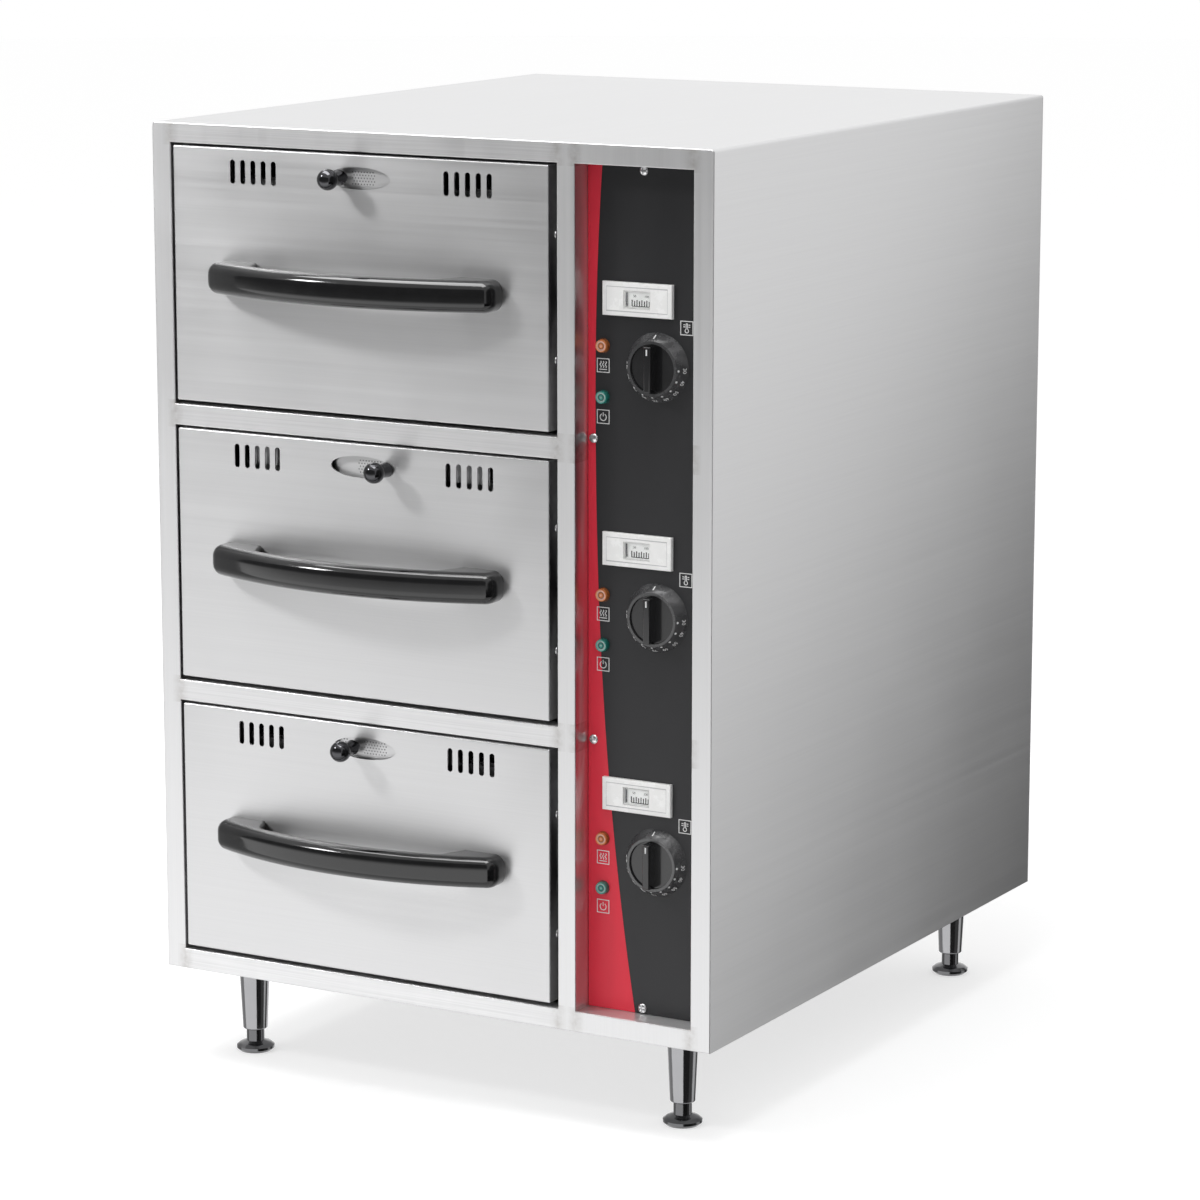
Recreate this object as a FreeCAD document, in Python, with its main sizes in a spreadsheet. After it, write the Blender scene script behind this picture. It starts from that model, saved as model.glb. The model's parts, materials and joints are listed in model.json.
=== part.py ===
import FreeCAD, Part
import math
import os

import Sketcher
from FreeCAD import Placement, Rotation, Vector

# Countertop warming drawer: a sheet metal cabinet with three heated pan drawers on telescopic
# runners and a recessed control bay.  All sizes are millimetres.
# Cabinet frame: x from the middle of the casing to the right, y from the front face to the back,
# z up from the underside of the casing.  Every piece is drawn in that frame, or in the frame of
# its drawer or control, and placed so that the whole stands with its origin bottom centre.

# ---------------------------------------------------------------- driving sizes
SIZES = [
    ("pan_length", 530.0, "food pan, rim length"),
    ("pan_width", 325.0, "food pan, rim width"),
    ("pan_depth", 150.0, "food pan, depth"),
    ("pan_sheet", 1.0, "food pan, sheet"),
    ("pan_rim", 12.5, "food pan, width of its rim"),
    ("pan_corner", 28.0, "food pan, corner and bottom radius"),
    ("pan_rim_corner", 18.0, "food pan, corner radius of its rim"),
    ("pan_taper", 2.0, "food pan, taper of its walls in degrees"),
    ("pan_clearance", 1.5, "pan to the carrier's opening"),
    ("pan_side_gap", 16.35, "pan rim to the carrier's sides"),
    ("pan_setback", 9.0, "pan rim behind the drawer front"),
    ("carrier_tail", 23.0, "carrier's end behind the pan rim"),
    ("carrier_height", 45.0, "carrier frame, height"),
    ("carrier_sheet", 1.5, "carrier frame, sheet"),
    ("rim_drop", 30.0, "carrier's top face below the opening's top"),
    ("casing_sheet", 1.5, "sheet of casing, frame, base and rear"),
    ("liner_sheet", 1.2, "sheet of liner and cavity decks"),
    ("corner_bend", 3.0, "outer bend radius of the casing's top corners"),
    ("edge_bend", 1.0, "bend radius round the front frame's edges"),
    ("stile_left", 19.0, "front frame, left upright"),
    ("stile_middle", 17.0, "front frame, upright between drawers and bay"),
    ("stile_right", 18.5, "front frame, right upright"),
    ("rail_top", 17.0, "front frame, top rail"),
    ("rail_between", 18.5, "front frame, rails between drawers"),
    ("rail_bottom", 18.0, "front frame, bottom rail"),
    ("opening_height", 226.0, "drawer opening, height"),
    ("opening_return", 16.0, "depth of the folded edge round a drawer opening"),
    ("bay_width", 110.0, "control bay, width"),
    ("bay_depth", 22.0, "control panel's setback behind the front face"),
    ("base_flange", 15.0, "height of the base panel's side flanges"),
    ("rear_flange", 14.0, "width of the casing's rear flanges"),
    ("fit_gap", 0.3, "clearance of loose fitted sheet parts"),
    ("running_gap", 0.05, "radial clearance of shafts and stems"),
    ("leg_inset", 55.0, "leg axis, in from front, rear and sides"),
    ("leg_length", 64.0, "leg tube below the casing"),
    ("leg_top_radius", 14.0, "leg tube at the casing"),
    ("leg_low_radius", 11.0, "leg tube at its lower end"),
    ("leg_stud_radius", 5.0, "stud through the base panel"),
    ("leg_stud_height", 7.0, "stud above the casing's underside"),
    ("leg_edge", 1.5, "rounding of the tube's lower edge"),
    ("foot_stem_radius", 8.0, "levelling foot, stem"),
    ("foot_stem_grip", 30.0, "stem inside the leg tube"),
    ("foot_travel", 10.0, "room for the stem to be screwed further in"),
    ("foot_stem_shown", 11.0, "stem between tube and disc"),
    ("foot_radius", 17.0, "levelling foot, disc"),
    ("foot_height", 9.0, "levelling foot, disc thickness"),
    ("liner_rear_room", 26.3, "carrier or runner to the liner's back wall"),
    ("liner_back_gap", 30.0, "room for insulation behind the liner"),
    ("deck_flange", 5.0, "turned down edges of a cavity deck"),
    ("insulation_right", 12.0, "slab between liner and control bay"),
    ("element_radius", 4.0, "tubular heating element"),
    ("element_lift", 16.0, "element axis above its deck"),
    ("element_pitch", 128.0, "distance between the element's runs"),
    ("element_front", 90.0, "first run behind the front face"),
    ("element_side_gap", 45.0, "turns, in from the liner's walls"),
    ("element_end", 10.0, "terminal length outside the liner wall"),
    ("saddle_width", 12.0, "element saddle"),
    ("rail_height", 36.0, "outer runner member, height"),
    ("rail_sheet", 1.2, "runner members, sheet"),
    ("rail_gap", 0.4, "clearance between runner members"),
    ("slide_width", 12.4, "three runner members together"),
    ("rail_length", 550.0, "runner members, length"),
    ("rail_front", 30.0, "runner's front end behind the front face"),
    ("rail_drop", 52.0, "runner axis below the opening's top"),
    ("gap_left", 2.2, "drawer front to opening, left"),
    ("gap_right", 7.8, "drawer front to opening, right"),
    ("gap_top", 2.2, "drawer front to opening, top"),
    ("gap_bottom", 3.5, "drawer front to opening, bottom"),
    ("front_depth", 24.0, "drawer front, depth of its returns"),
    ("front_sheet", 1.2, "drawer front and inner plate, sheet"),
    ("front_bend", 1.5, "drawer front, rounding of its face edges"),
    ("plate_flange", 12.0, "inner plate's flanges inside the front"),
    ("vent_drop", 20.0, "vent line below the drawer front's top edge"),
    ("slot_width", 5.0, "vent slot, width"),
    ("slot_height", 20.5, "vent slot, height"),
    ("slot_pitch", 10.4, "vent slot spacing"),
    ("slot_count", 5.0, "vent slots in a group"),
    ("group_offset", 106.5, "middle of a slot group from the drawer's middle"),
    ("oval_length", 62.0, "oval opening for the vent knob, length"),
    ("oval_height", 19.0, "oval opening for the vent knob, height"),
    ("shutter_setback", 3.5, "shutter plate behind the drawer front's sheet"),
    ("shutter_sheet", 1.0, "shutter plate, sheet"),
    ("shutter_travel", 25.0, "shutter travel each way from the middle"),
    ("shutter_top", 15.0, "shutter's top edge above the vent line"),
    ("shutter_bar", 4.0, "shutter's top bar, height"),
    ("shutter_wing", 6.0, "wing's lower edge below the vent line"),
    ("shutter_heel", 13.5, "middle part's lower edge below the vent line"),
    ("shutter_middle", 56.0, "half length of the middle part"),
    ("shutter_right", 99.0, "right end from the knob"),
    ("shutter_left", 139.6, "left end from the knob"),
    ("window_left", 113.0, "left window, outer edge from the knob"),
    ("window_right", 60.0, "left window, inner edge from the knob"),
    ("guide_wall", 1.2, "wall of the shutter guides"),
    ("guide_grip", 3.5, "how far a guide laps over the shutter's edge"),
    ("shutter_rest_top", -18.0, "shutter's place in the top drawer"),
    ("shutter_rest_middle", 25.0, "shutter's place in the middle drawer"),
    ("shutter_rest_bottom", -12.0, "shutter's place in the bottom drawer"),
    ("ball_radius", 9.0, "vent knob, ball"),
    ("ball_reach", 20.0, "ball's middle in front of the drawer front"),
    ("collar_radius", 6.5, "vent knob, collar"),
    ("collar_gap", 1.0, "collar in front of the drawer front"),
    ("stem_radius", 4.0, "vent knob, stem through the oval"),
    ("tenon_radius", 3.0, "vent knob, tenon through the shutter"),
    ("handle_length", 285.0, "handle, end to end"),
    ("handle_height", 27.0, "handle, height of the bow"),
    ("handle_reach", 48.0, "handle, front face to drawer front"),
    ("handle_bar", 15.5, "handle, thickness in the middle"),
    ("handle_shoulder", 18.0, "handle, straight part of its ends"),
    ("handle_foot", 42.0, "handle, foot length on the drawer front"),
    ("handle_flare", 10.0, "handle, slant of the feet's inner faces"),
    ("handle_throat", 22.0, "handle, depth where the feet meet the bow"),
    ("handle_end_round", 13.0, "handle, rounding of its outer corners"),
    ("handle_throat_round", 9.0, "handle, rounding of its inner corners"),
    ("handle_edge_round", 10.0, "handle, rounding of its outer long edges"),
    ("handle_inner_round", 3.0, "handle, rounding of its other edges"),
    ("handle_screw_inset", 21.0, "handle screw, in from the handle's end"),
    ("handle_screw_grip", 14.0, "handle screw inside the foot"),
    ("screw_radius", 2.0, "screws of the drawer, shank"),
    ("screw_head_radius", 3.6, "screws of the drawer, head"),
    ("screw_head_height", 1.6, "screws of the drawer, head"),
    ("side_screw_spread", 52.0, "side screws above and below the middle"),
    ("side_screw_depth", 14.0, "side screws behind the front face"),
    ("side_screw_grip", 6.0, "side screw, shank length"),
    ("control_pitch", 208.4, "from one drawer's controls to the next"),
    ("thermometer_across", 48.1, "thermometer's middle from the bay's left"),
    ("thermometer_drop", 110.4, "thermometer's middle below the bay's top"),
    ("thermometer_width", 65.0, "thermometer bezel"),
    ("thermometer_height", 28.0, "thermometer bezel"),
    ("thermometer_proud", 4.0, "bezel in front of the panel"),
    ("case_width", 58.0, "thermometer case behind the panel"),
    ("case_height", 22.0, "thermometer case behind the panel"),
    ("case_depth", 20.0, "thermometer case behind the panel"),
    ("window_width", 25.0, "scale window"),
    ("window_height", 15.0, "scale window"),
    ("window_ledge", 1.0, "ledge round the scale window"),
    ("window_sheet", 0.8, "clear window"),
    ("window_depth", 3.0, "scale plate behind the bezel's face"),
    ("pointer_width", 0.8, "thermometer pointer"),
    ("pointer_height", 11.0, "thermometer pointer"),
    ("pointer_sheet", 0.5, "thermometer pointer"),
    ("pointer_foot", 2.0, "pointer's foot"),
    ("pointer_margin", 1.2, "pointer at rest to the window's edge"),
    ("knob_across", 65.5, "knob's axis from the bay's left"),
    ("knob_drop", 165.2, "knob's axis below the bay's top"),
    ("bezel_radius", 29.0, "scale ring at the panel"),
    ("bezel_face_radius", 22.8, "scale ring's front edge"),
    ("bezel_height", 10.0, "scale ring"),
    ("bezel_floor", 1.5, "scale ring's floor"),
    ("knob_radius", 20.0, "knob"),
    ("knob_gap", 0.5, "knob to scale ring, radial"),
    ("knob_face", 8.0, "knob's disc in front of the panel"),
    ("grip_reach", 19.0, "knob's grip in front of the panel"),
    ("grip_width", 6.6, "knob's grip"),
    ("grip_length", 38.0, "knob's grip"),
    ("grip_round", 1.4, "rounding of the grip's edges"),
    ("shaft_radius", 3.0, "thermostat shaft"),
    ("shaft_length", 16.0, "thermostat shaft behind the panel's face"),
    ("shaft_hole", 5.0, "shaft hole in panel and ring"),
    ("thermostat_side", 40.0, "thermostat body, width and height"),
    ("thermostat_depth", 28.0, "thermostat body, depth"),
    ("capillary_boss", 5.0, "thermostat's capillary boss, radius"),
    ("lamp_across", 14.5, "pilot lamps from the bay's left"),
    ("amber_drop", 150.4, "heating lamp below the bay's top"),
    ("green_drop", 193.0, "power lamp below the bay's top"),
    ("lamp_radius", 6.2, "lamp lens at the panel"),
    ("lamp_face_radius", 5.2, "lamp lens at its face"),
    ("lamp_proud", 4.4, "lamp lens in front of the panel"),
    ("lamp_body_radius", 5.0, "lamp body"),
    ("lamp_body_depth", 14.0, "lamp body behind the panel's face"),
    ("panel_screw_radius", 2.0, "panel and rear screws, shank"),
    ("panel_head_radius", 4.2, "panel and rear screws, head"),
    ("panel_head_height", 2.4, "panel and rear screws, head"),
    ("panel_screw_grip", 6.0, "panel and rear screws, shank length"),
    ("end_screw_across", 52.5, "top and bottom panel screws from the bay's left"),
    ("end_screw_inset", 5.0, "top and bottom panel screws from the bay's ends"),
    ("side_screw_across", 5.5, "left panel screws from the bay's left"),
    ("side_screw_upper", 228.0, "upper left panel screw below the bay's top"),
    ("side_screw_lower", 483.0, "lower left panel screw below the bay's top"),
    ("tab_reach", 12.0, "panel tab, in from the bay's edge"),
    ("tab_half_width", 9.0, "panel tab, half its width"),
    ("rear_screw_inset", 70.0, "end rear screws from top and bottom"),
    ("rear_slot_width", 4.0, "rear air slot"),
    ("rear_slot_height", 60.0, "rear air slot"),
    ("rear_slot_pitch", 12.0, "rear air slot spacing"),
    ("rear_slot_count", 6.0, "rear air slots in a group"),
    ("rear_slot_drop", 120.0, "rear air slots' middle from top and bottom"),
    ("gland_across", 60.0, "cable gland from the bay's left"),
    ("gland_lift", 45.0, "cable gland above the casing's underside"),
    ("gland_thread", 8.0, "cable gland, thread radius"),
    ("gland_flange", 12.0, "cable gland, corner radius of its hexagon"),
    ("gland_dome", 9.5, "cable gland, dome radius"),
    ("gland_bore", 4.0, "cable gland, bore radius"),
    ("gland_hexagon", 5.0, "cable gland, hexagon thickness"),
    ("gland_length", 17.0, "cable gland behind the rear panel"),
    ("gland_inside", 8.0, "cable gland inside the rear panel"),
]

DRAWERS = ("top", "middle", "bottom")
SIDES = (("left", -1), ("right", 1))

doc = FreeCAD.newDocument("WarmingDrawer")
sheet = doc.addObject("Spreadsheet::Sheet", "Sizes")
for row, (name, number, meaning) in enumerate(SIZES, 1):
    sheet.set(f"A{row}", meaning)
    sheet.set(f"B{row}", str(number))
    sheet.setAlias(f"B{row}", name)
doc.recompute()


# ---------------------------------------------------------------- sizes with their expressions
class Size:
    """A length kept both as a number and as an expression of the sheet."""

    def __init__(self, number, text):
        self.number = number
        self.text = text

    def __add__(self, other):
        other = sized(other)
        return Size(self.number + other.number, f"({self.text} + {other.text})")

    def __sub__(self, other):
        other = sized(other)
        return Size(self.number - other.number, f"({self.text} - {other.text})")

    def __mul__(self, other):
        other = sized(other)
        return Size(self.number * other.number, f"({self.text} * {other.text})")

    def __truediv__(self, other):
        other = sized(other)
        return Size(self.number / other.number, f"({self.text} / {other.text})")

    def __neg__(self):
        return Size(-self.number, f"(-1 * {self.text})")

    def __radd__(self, other):
        return sized(other) + self

    def __rsub__(self, other):
        return sized(other) - self

    def __rmul__(self, other):
        return sized(other) * self


def sized(value):
    """Returns a Size for a Size or a plain number."""
    if isinstance(value, Size):
        return value
    return Size(float(value), f"({float(value)!r})")


def larger(first, second):
    """The larger of two Sizes."""
    return Size(max(first.number, second.number), f"max({first.text}; {second.text})")


class Sheet:
    """Gives each alias of the sheet as a Size."""

    def __getattr__(self, name):
        return Size(float(getattr(sheet, name)), f"Sizes.{name}")


d = Sheet()


def bind(target, path, value):
    """Ties a property of target to the expression of value."""
    target.setExpression(path, sized(value).text)


def place(target, across=0, back=0, up=0):
    """Places an object drawn in the cabinet's frame, or moved from there, in the part's frame."""
    bind(target, "Placement.Base.x", sized(across))
    bind(target, "Placement.Base.y", front_face + back)
    bind(target, "Placement.Base.z", standing_height + up)
    return target


# ---------------------------------------------------------------- sketches
def new_body(label):
    """Starts a PartDesign body."""
    body = doc.addObject("PartDesign::Body", label)
    body.Label = label
    return body


def sketch_on(body, label, plane, offset):
    """Attaches a sketch to one of the body's own origin planes, moved along the plane's normal."""
    sketch = body.newObject("Sketcher::SketchObject", label)
    origin_plane = next(item for item in body.Origin.OriginFeatures if item.Role == plane)
    sketch.AttachmentSupport = [(origin_plane, "")]
    sketch.MapMode = "FlatFace"
    bind(sketch, "AttachmentOffset.Base.z", offset)
    return sketch


def front_sketch(body, label, back=0):
    """A sketch seen from the front: across is x, up is z; its normal points forward."""
    return sketch_on(body, label, "XZ_Plane", -sized(back))


def plan_sketch(body, label, up=0):
    """A sketch seen from above: across is x, up is y; its normal points up."""
    return sketch_on(body, label, "XY_Plane", sized(up))


def side_sketch(body, label, across=0):
    """A sketch seen from the right: across is y, up is z; its normal points right."""
    return sketch_on(body, label, "YZ_Plane", sized(across))


def bound_constraint(sketch, kind, *ends, value):
    """Adds one dimension whose value is an expression of the sheet."""
    index = sketch.addConstraint(Sketcher.Constraint(kind, *ends, sized(value).number))
    bind(sketch, f"Constraints[{index}]", value)


def hold(sketch, curve, end, point):
    """Holds one end (1 start, 2 end, 3 centre) of a curve from the sketch's origin."""
    bound_constraint(sketch, "DistanceX", -1, 1, curve, end, value=point[0])
    bound_constraint(sketch, "DistanceY", -1, 1, curve, end, value=point[1])


def vector(point):
    """The numbers of a point of two Sizes."""
    return Vector(sized(point[0]).number, sized(point[1]).number, 0)


def arc_between(start, end, radius, turn):
    """Returns an arc of under half a turn, or just half: turn 1 is anticlockwise, -1 clockwise."""
    chord = end - start
    rise = math.sqrt(max(radius ** 2 - (chord.Length / 2) ** 2, 0.0))
    left = Vector(-chord.y, chord.x, 0).normalize()
    centre = (start + end) * 0.5 + left * (rise * turn)
    first, last = (start, end) if turn > 0 else (end, start)
    first_angle = math.atan2(first.y - centre.y, first.x - centre.x)
    last_angle = math.atan2(last.y - centre.y, last.x - centre.x)
    if last_angle <= first_angle:
        last_angle += 2 * math.pi
    return Part.ArcOfCircle(Part.Circle(centre, Vector(0, 0, 1), radius), first_angle, last_angle)


def outline(sketch, corners, bends=None, closed=True):
    """Draws a chain of lines through corners; bends maps a line's number to (radius, turn)."""
    bends = bends or {}
    count = len(corners)
    spans = count if closed else count - 1
    ends = []
    for span in range(spans):
        start, end = vector(corners[span]), vector(corners[(span + 1) % count])
        if span in bends:
            radius, turn = bends[span]
            curve = sketch.addGeometry(arc_between(start, end, sized(radius).number, turn), False)
            ends.append((curve, 1, 2) if turn > 0 else (curve, 2, 1))
        else:
            curve = sketch.addGeometry(Part.LineSegment(start, end), False)
            ends.append((curve, 1, 2))
    for span in range(spans):
        curve, start, end = ends[span]
        hold(sketch, curve, start, corners[span])
        if span + 1 < spans or closed:
            following, following_start, _ = ends[(span + 1) % spans]
            sketch.addConstraint(
                Sketcher.Constraint("Coincident", curve, end, following, following_start))
        else:
            hold(sketch, curve, end, corners[span + 1])
        if span in bends:
            shape_bend(sketch, curve, corners[span], corners[(span + 1) % count], bends[span][0])


def shape_bend(sketch, curve, start, end, radius):
    """Fixes a held arc's last freedom: by its radius, or by its centre where it is a half turn."""
    span = vector(end) - vector(start)
    half_turn = abs(2 * sized(radius).number - span.Length) < 1e-6
    if not half_turn:
        bound_constraint(sketch, "Radius", curve, value=radius)
    elif abs(span.x) < abs(span.y):
        bound_constraint(sketch, "DistanceX", -1, 1, curve, 3, value=start[0])
    else:
        bound_constraint(sketch, "DistanceY", -1, 1, curve, 3, value=start[1])


def rectangle(sketch, left, right, low, high):
    """Draws a rectangle from its four sides."""
    outline(sketch, [(left, low), (right, low), (right, high), (left, high)])


def circle(sketch, point, radius):
    """Draws a circle held from the sketch's origin."""
    curve = sketch.addGeometry(
        Part.Circle(vector(point), Vector(0, 0, 1), sized(radius).number), False)
    hold(sketch, curve, 3, point)
    bound_constraint(sketch, "Radius", curve, value=radius)


def upright_slot(sketch, point, width, height):
    """Draws an upright slot with round ends."""
    across, up = sized(point[0]), sized(point[1])
    rise = (height - width) / 2
    half = width / 2
    corners = [
        (across + half, up - rise),
        (across + half, up + rise),
        (across - half, up + rise),
        (across - half, up - rise),
    ]
    outline(sketch, corners, {1: (half, 1), 3: (half, 1)})


def oval(sketch, point, length, height):
    """Draws an ellipse with a level long axis."""
    centre = vector(point)
    curve = sketch.addGeometry(
        Part.Ellipse(centre, sized(length).number / 2, sized(height).number / 2), False)
    sketch.exposeInternalGeometry(curve)
    long_axis, short_axis = curve + 1, curve + 2
    hold(sketch, curve, 3, point)
    sketch.addConstraint(Sketcher.Constraint("Horizontal", long_axis))
    bound_constraint(sketch, "Distance", long_axis, value=length)
    bound_constraint(sketch, "Distance", short_axis, value=height)


# ---------------------------------------------------------------- features
def pad(sketch, length, reverse=False, taper=0):
    """Pads a sketch along its normal, or against it."""
    body = sketch.getParentGeoFeatureGroup()
    feature = body.newObject("PartDesign::Pad", sketch.Label + "_pad")
    feature.Profile = sketch
    feature.Reversed = reverse
    bind(feature, "Length", length)
    if taper:
        bind(feature, "TaperAngle", taper)
    return feature


def pad_back(sketch, length):
    """Pads a front sketch away from the viewer."""
    return pad(sketch, length, reverse=True)


def cut(sketch, length=None, reverse=False, taper=0):
    """Pockets a sketch against its normal, or along it, and makes sure that it removed metal."""
    body = sketch.getParentGeoFeatureGroup()
    doc.recompute()
    before = body.Shape.Volume
    feature = body.newObject("PartDesign::Pocket", sketch.Label + "_cut")
    feature.Profile = sketch
    feature.Reversed = reverse
    if length is None:
        feature.Type = 1
    else:
        bind(feature, "Length", length)
    if taper:
        bind(feature, "TaperAngle", taper)
    doc.recompute()
    if body.Shape.Volume >= before:
        raise RuntimeError(f"{feature.Label} cuts nothing")
    return feature


def turn(sketch, axis):
    """Revolves a sketch about its level (H_Axis) or upright (V_Axis) axis."""
    body = sketch.getParentGeoFeatureGroup()
    feature = body.newObject("PartDesign::Revolution", sketch.Label + "_turn")
    feature.Profile = sketch
    feature.ReferenceAxis = (sketch, [axis])
    feature.Angle = 360
    return feature


def repeat(feature, sketch, pitch, count):
    """Repeats a feature along its sketch's level axis."""
    body = sketch.getParentGeoFeatureGroup()
    pattern = body.newObject("PartDesign::LinearPattern", feature.Label + "_row")
    pattern.Originals = [feature]
    pattern.Direction = (sketch, ["H_Axis"])
    bind(pattern, "Length", pitch * (count - 1))
    bind(pattern, "Occurrences", count)
    body.Tip = pattern
    return pattern


def round_edges(body, label, radius, wanted):
    """Fillets the edges whose two end points and middle all pass the test."""
    doc.recompute()
    base = body.Tip
    names = []
    for number, edge in enumerate(base.Shape.Edges, 1):
        middle = edge.valueAt((edge.FirstParameter + edge.LastParameter) / 2)
        points = [vertex.Point for vertex in edge.Vertexes] + [middle]
        if wanted(edge, points):
            names.append(f"Edge{number}")
    feature = body.newObject("PartDesign::Fillet", label)
    feature.Base = (base, names)
    bind(feature, "Radius", radius)
    return feature


def near(value, target):
    """True when a coordinate is at a size."""
    return abs(value - sized(target).number) < 1e-4


def on_front(back):
    """A test for edges that lie in the plane at a depth."""
    return lambda edge, points: all(near(point.y, back) for point in points)


def runs_back(across, up):
    """A test for edges along y at a place seen from the front; None takes any place."""
    def wanted(edge, points):
        first, last = points[0], points[-2]
        along = near(first.x, last.x) and near(first.z, last.z) and not near(first.y, last.y)
        at_across = across is None or any(near(first.x, place) for place in across)
        return along and at_across and (up is None or near(first.z, up))
    return wanted


def group(label, members):
    """Joins separate solids that share one node."""
    compound = doc.addObject("Part::Compound", label)
    compound.Label = label
    compound.Links = members
    return compound


# ---------------------------------------------------------------- worked out places
carrier_half = d.pan_width / 2 + d.pan_side_gap
half_opening = carrier_half + d.slide_width
body_width = half_opening * 2 + d.stile_left + d.stile_middle + d.bay_width + d.stile_right
half_width = body_width / 2
opening_pitch = d.opening_height + d.rail_between
bay_height = opening_pitch * 2 + d.opening_height
bay_low = d.rail_bottom
frame_top = bay_low + bay_height
body_height = frame_top + d.rail_top

pan_front = d.front_depth + d.pan_setback
pan_back = pan_front + d.pan_length
carrier_back = pan_back + d.carrier_tail
runner_back = d.rail_front + d.rail_length
liner_back = larger(carrier_back, runner_back) + d.liner_rear_room + d.liner_sheet
body_depth = liner_back + d.liner_back_gap + d.casing_sheet

reach_behind = d.gland_length
standing_height = d.leg_length + d.foot_stem_shown + d.foot_height
front_face = (d.handle_reach - body_depth - reach_behind) / 2

opening_left = d.stile_left - half_width
opening_right = opening_left + half_opening * 2
drawer_middle = opening_left + half_opening
bay_left = opening_right + d.stile_middle
bay_right = bay_left + d.bay_width

liner_outer = half_opening + d.liner_sheet
roof_height = body_height - d.rail_top / 2

front_left = d.gap_left - half_opening
front_right = half_opening - d.gap_right
front_middle = (front_left + front_right) / 2
front_high = -d.gap_top
front_low = d.gap_bottom - d.opening_height
vent_line = front_high - d.vent_drop
handle_line = (front_high + front_low) / 2
shutter_front = d.front_sheet + d.shutter_setback
guide_back = shutter_front + d.shutter_sheet + d.fit_gap + d.guide_wall

runs = [d.element_front + d.element_pitch * number for number in range(4)]


def opening_top(number):
    """Height of a drawer opening's top edge; number 0 is the top drawer."""
    return frame_top - opening_pitch * number


def deck_heights():
    """Heights of the four decks that close the cavities, from the roof down."""
    between = [opening_top(number) + d.rail_between / 2 for number in (1, 2)]
    return [roof_height] + between + [bay_low / 2]


def cavity_floor(number):
    """Height of the upper face of the deck below a drawer."""
    return deck_heights()[number + 1] + d.liner_sheet / 2


def control_points(across, drop):
    """Places of one control of each drawer on the panel, from the top down."""
    return [
        (bay_left + across, frame_top - drop - d.control_pitch * number)
        for number in range(len(DRAWERS))
    ]


def panel_screw_points():
    """Places of the panel's four screws."""
    ends = bay_left + d.end_screw_across
    left = bay_left + d.side_screw_across
    return [
        (ends, frame_top - d.end_screw_inset),
        (left, frame_top - d.side_screw_upper),
        (left, frame_top - d.side_screw_lower),
        (ends, bay_low + d.end_screw_inset),
    ]


def rear_screw_points():
    """Places of the rear panel's six screws."""
    across = half_width - d.casing_sheet - d.rear_flange / 2
    heights = [d.rear_screw_inset, body_height / 2, body_height - d.rear_screw_inset]
    return [(across * side, height) for _, side in SIDES for height in heights]


def leg_points():
    """Places of the four legs: name, x and y."""
    across = half_width - d.leg_inset
    depths = (("front", d.leg_inset), ("rear", body_depth - d.leg_inset))
    return [(f"{end}_{side}", across * sign, back) for end, back in depths for side, sign in SIDES]


def terminal_points():
    """Where the elements' ends pass the liner's right wall, in y and z."""
    return [
        (back, cavity_floor(number) + d.element_lift)
        for number in range(len(DRAWERS))
        for back in (runs[0], runs[-1])
    ]


# ---------------------------------------------------------------- cabinet
def make_front_frame():
    """The face plate with folded edges round the openings and tabs for the control panel."""
    body = new_body("front_frame")
    sheet_edge = d.casing_sheet
    face = front_sketch(body, "frame_face")
    rectangle(face, -half_width, half_width, 0, body_height)
    pad_back(face, sheet_edge)
    folds = front_sketch(body, "opening_folds")
    for number in range(len(DRAWERS)):
        top = opening_top(number)
        rectangle(folds, opening_left - sheet_edge, opening_right + sheet_edge,
                  top - d.opening_height - sheet_edge, top + sheet_edge)
    pad_back(folds, d.opening_return)
    bay_fold = front_sketch(body, "bay_fold")
    rectangle(bay_fold, bay_left - sheet_edge, bay_right + sheet_edge,
              bay_low - sheet_edge, frame_top + sheet_edge)
    tab_back = d.bay_depth + sheet_edge * 2
    pad_back(bay_fold, tab_back)
    openings = front_sketch(body, "frame_openings")
    for number in range(len(DRAWERS)):
        top = opening_top(number)
        rectangle(openings, opening_left, opening_right, top - d.opening_height, top)
    rectangle(openings, bay_left, bay_right, bay_low, frame_top)
    cut(openings)
    round_edges(body, "frame_top_corners", d.corner_bend,
                runs_back((-half_width, half_width), body_height))
    round_edges(body, "frame_edge_bends", d.edge_bend, on_front(0))
    tabs = front_sketch(body, "panel_tabs", d.bay_depth + sheet_edge)
    half = d.tab_half_width
    top_screw, upper_screw, lower_screw, low_screw = panel_screw_points()
    rectangle(tabs, top_screw[0] - half, top_screw[0] + half, frame_top - d.tab_reach, frame_top)
    for across, up in (upper_screw, lower_screw):
        rectangle(tabs, bay_left, bay_left + d.tab_reach, up - half, up + half)
    rectangle(tabs, low_screw[0] - half, low_screw[0] + half, bay_low, bay_low + d.tab_reach)
    for point in panel_screw_points():
        circle(tabs, point, d.panel_screw_radius + d.running_gap)
    pad_back(tabs, sheet_edge)
    return place(body)


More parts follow.
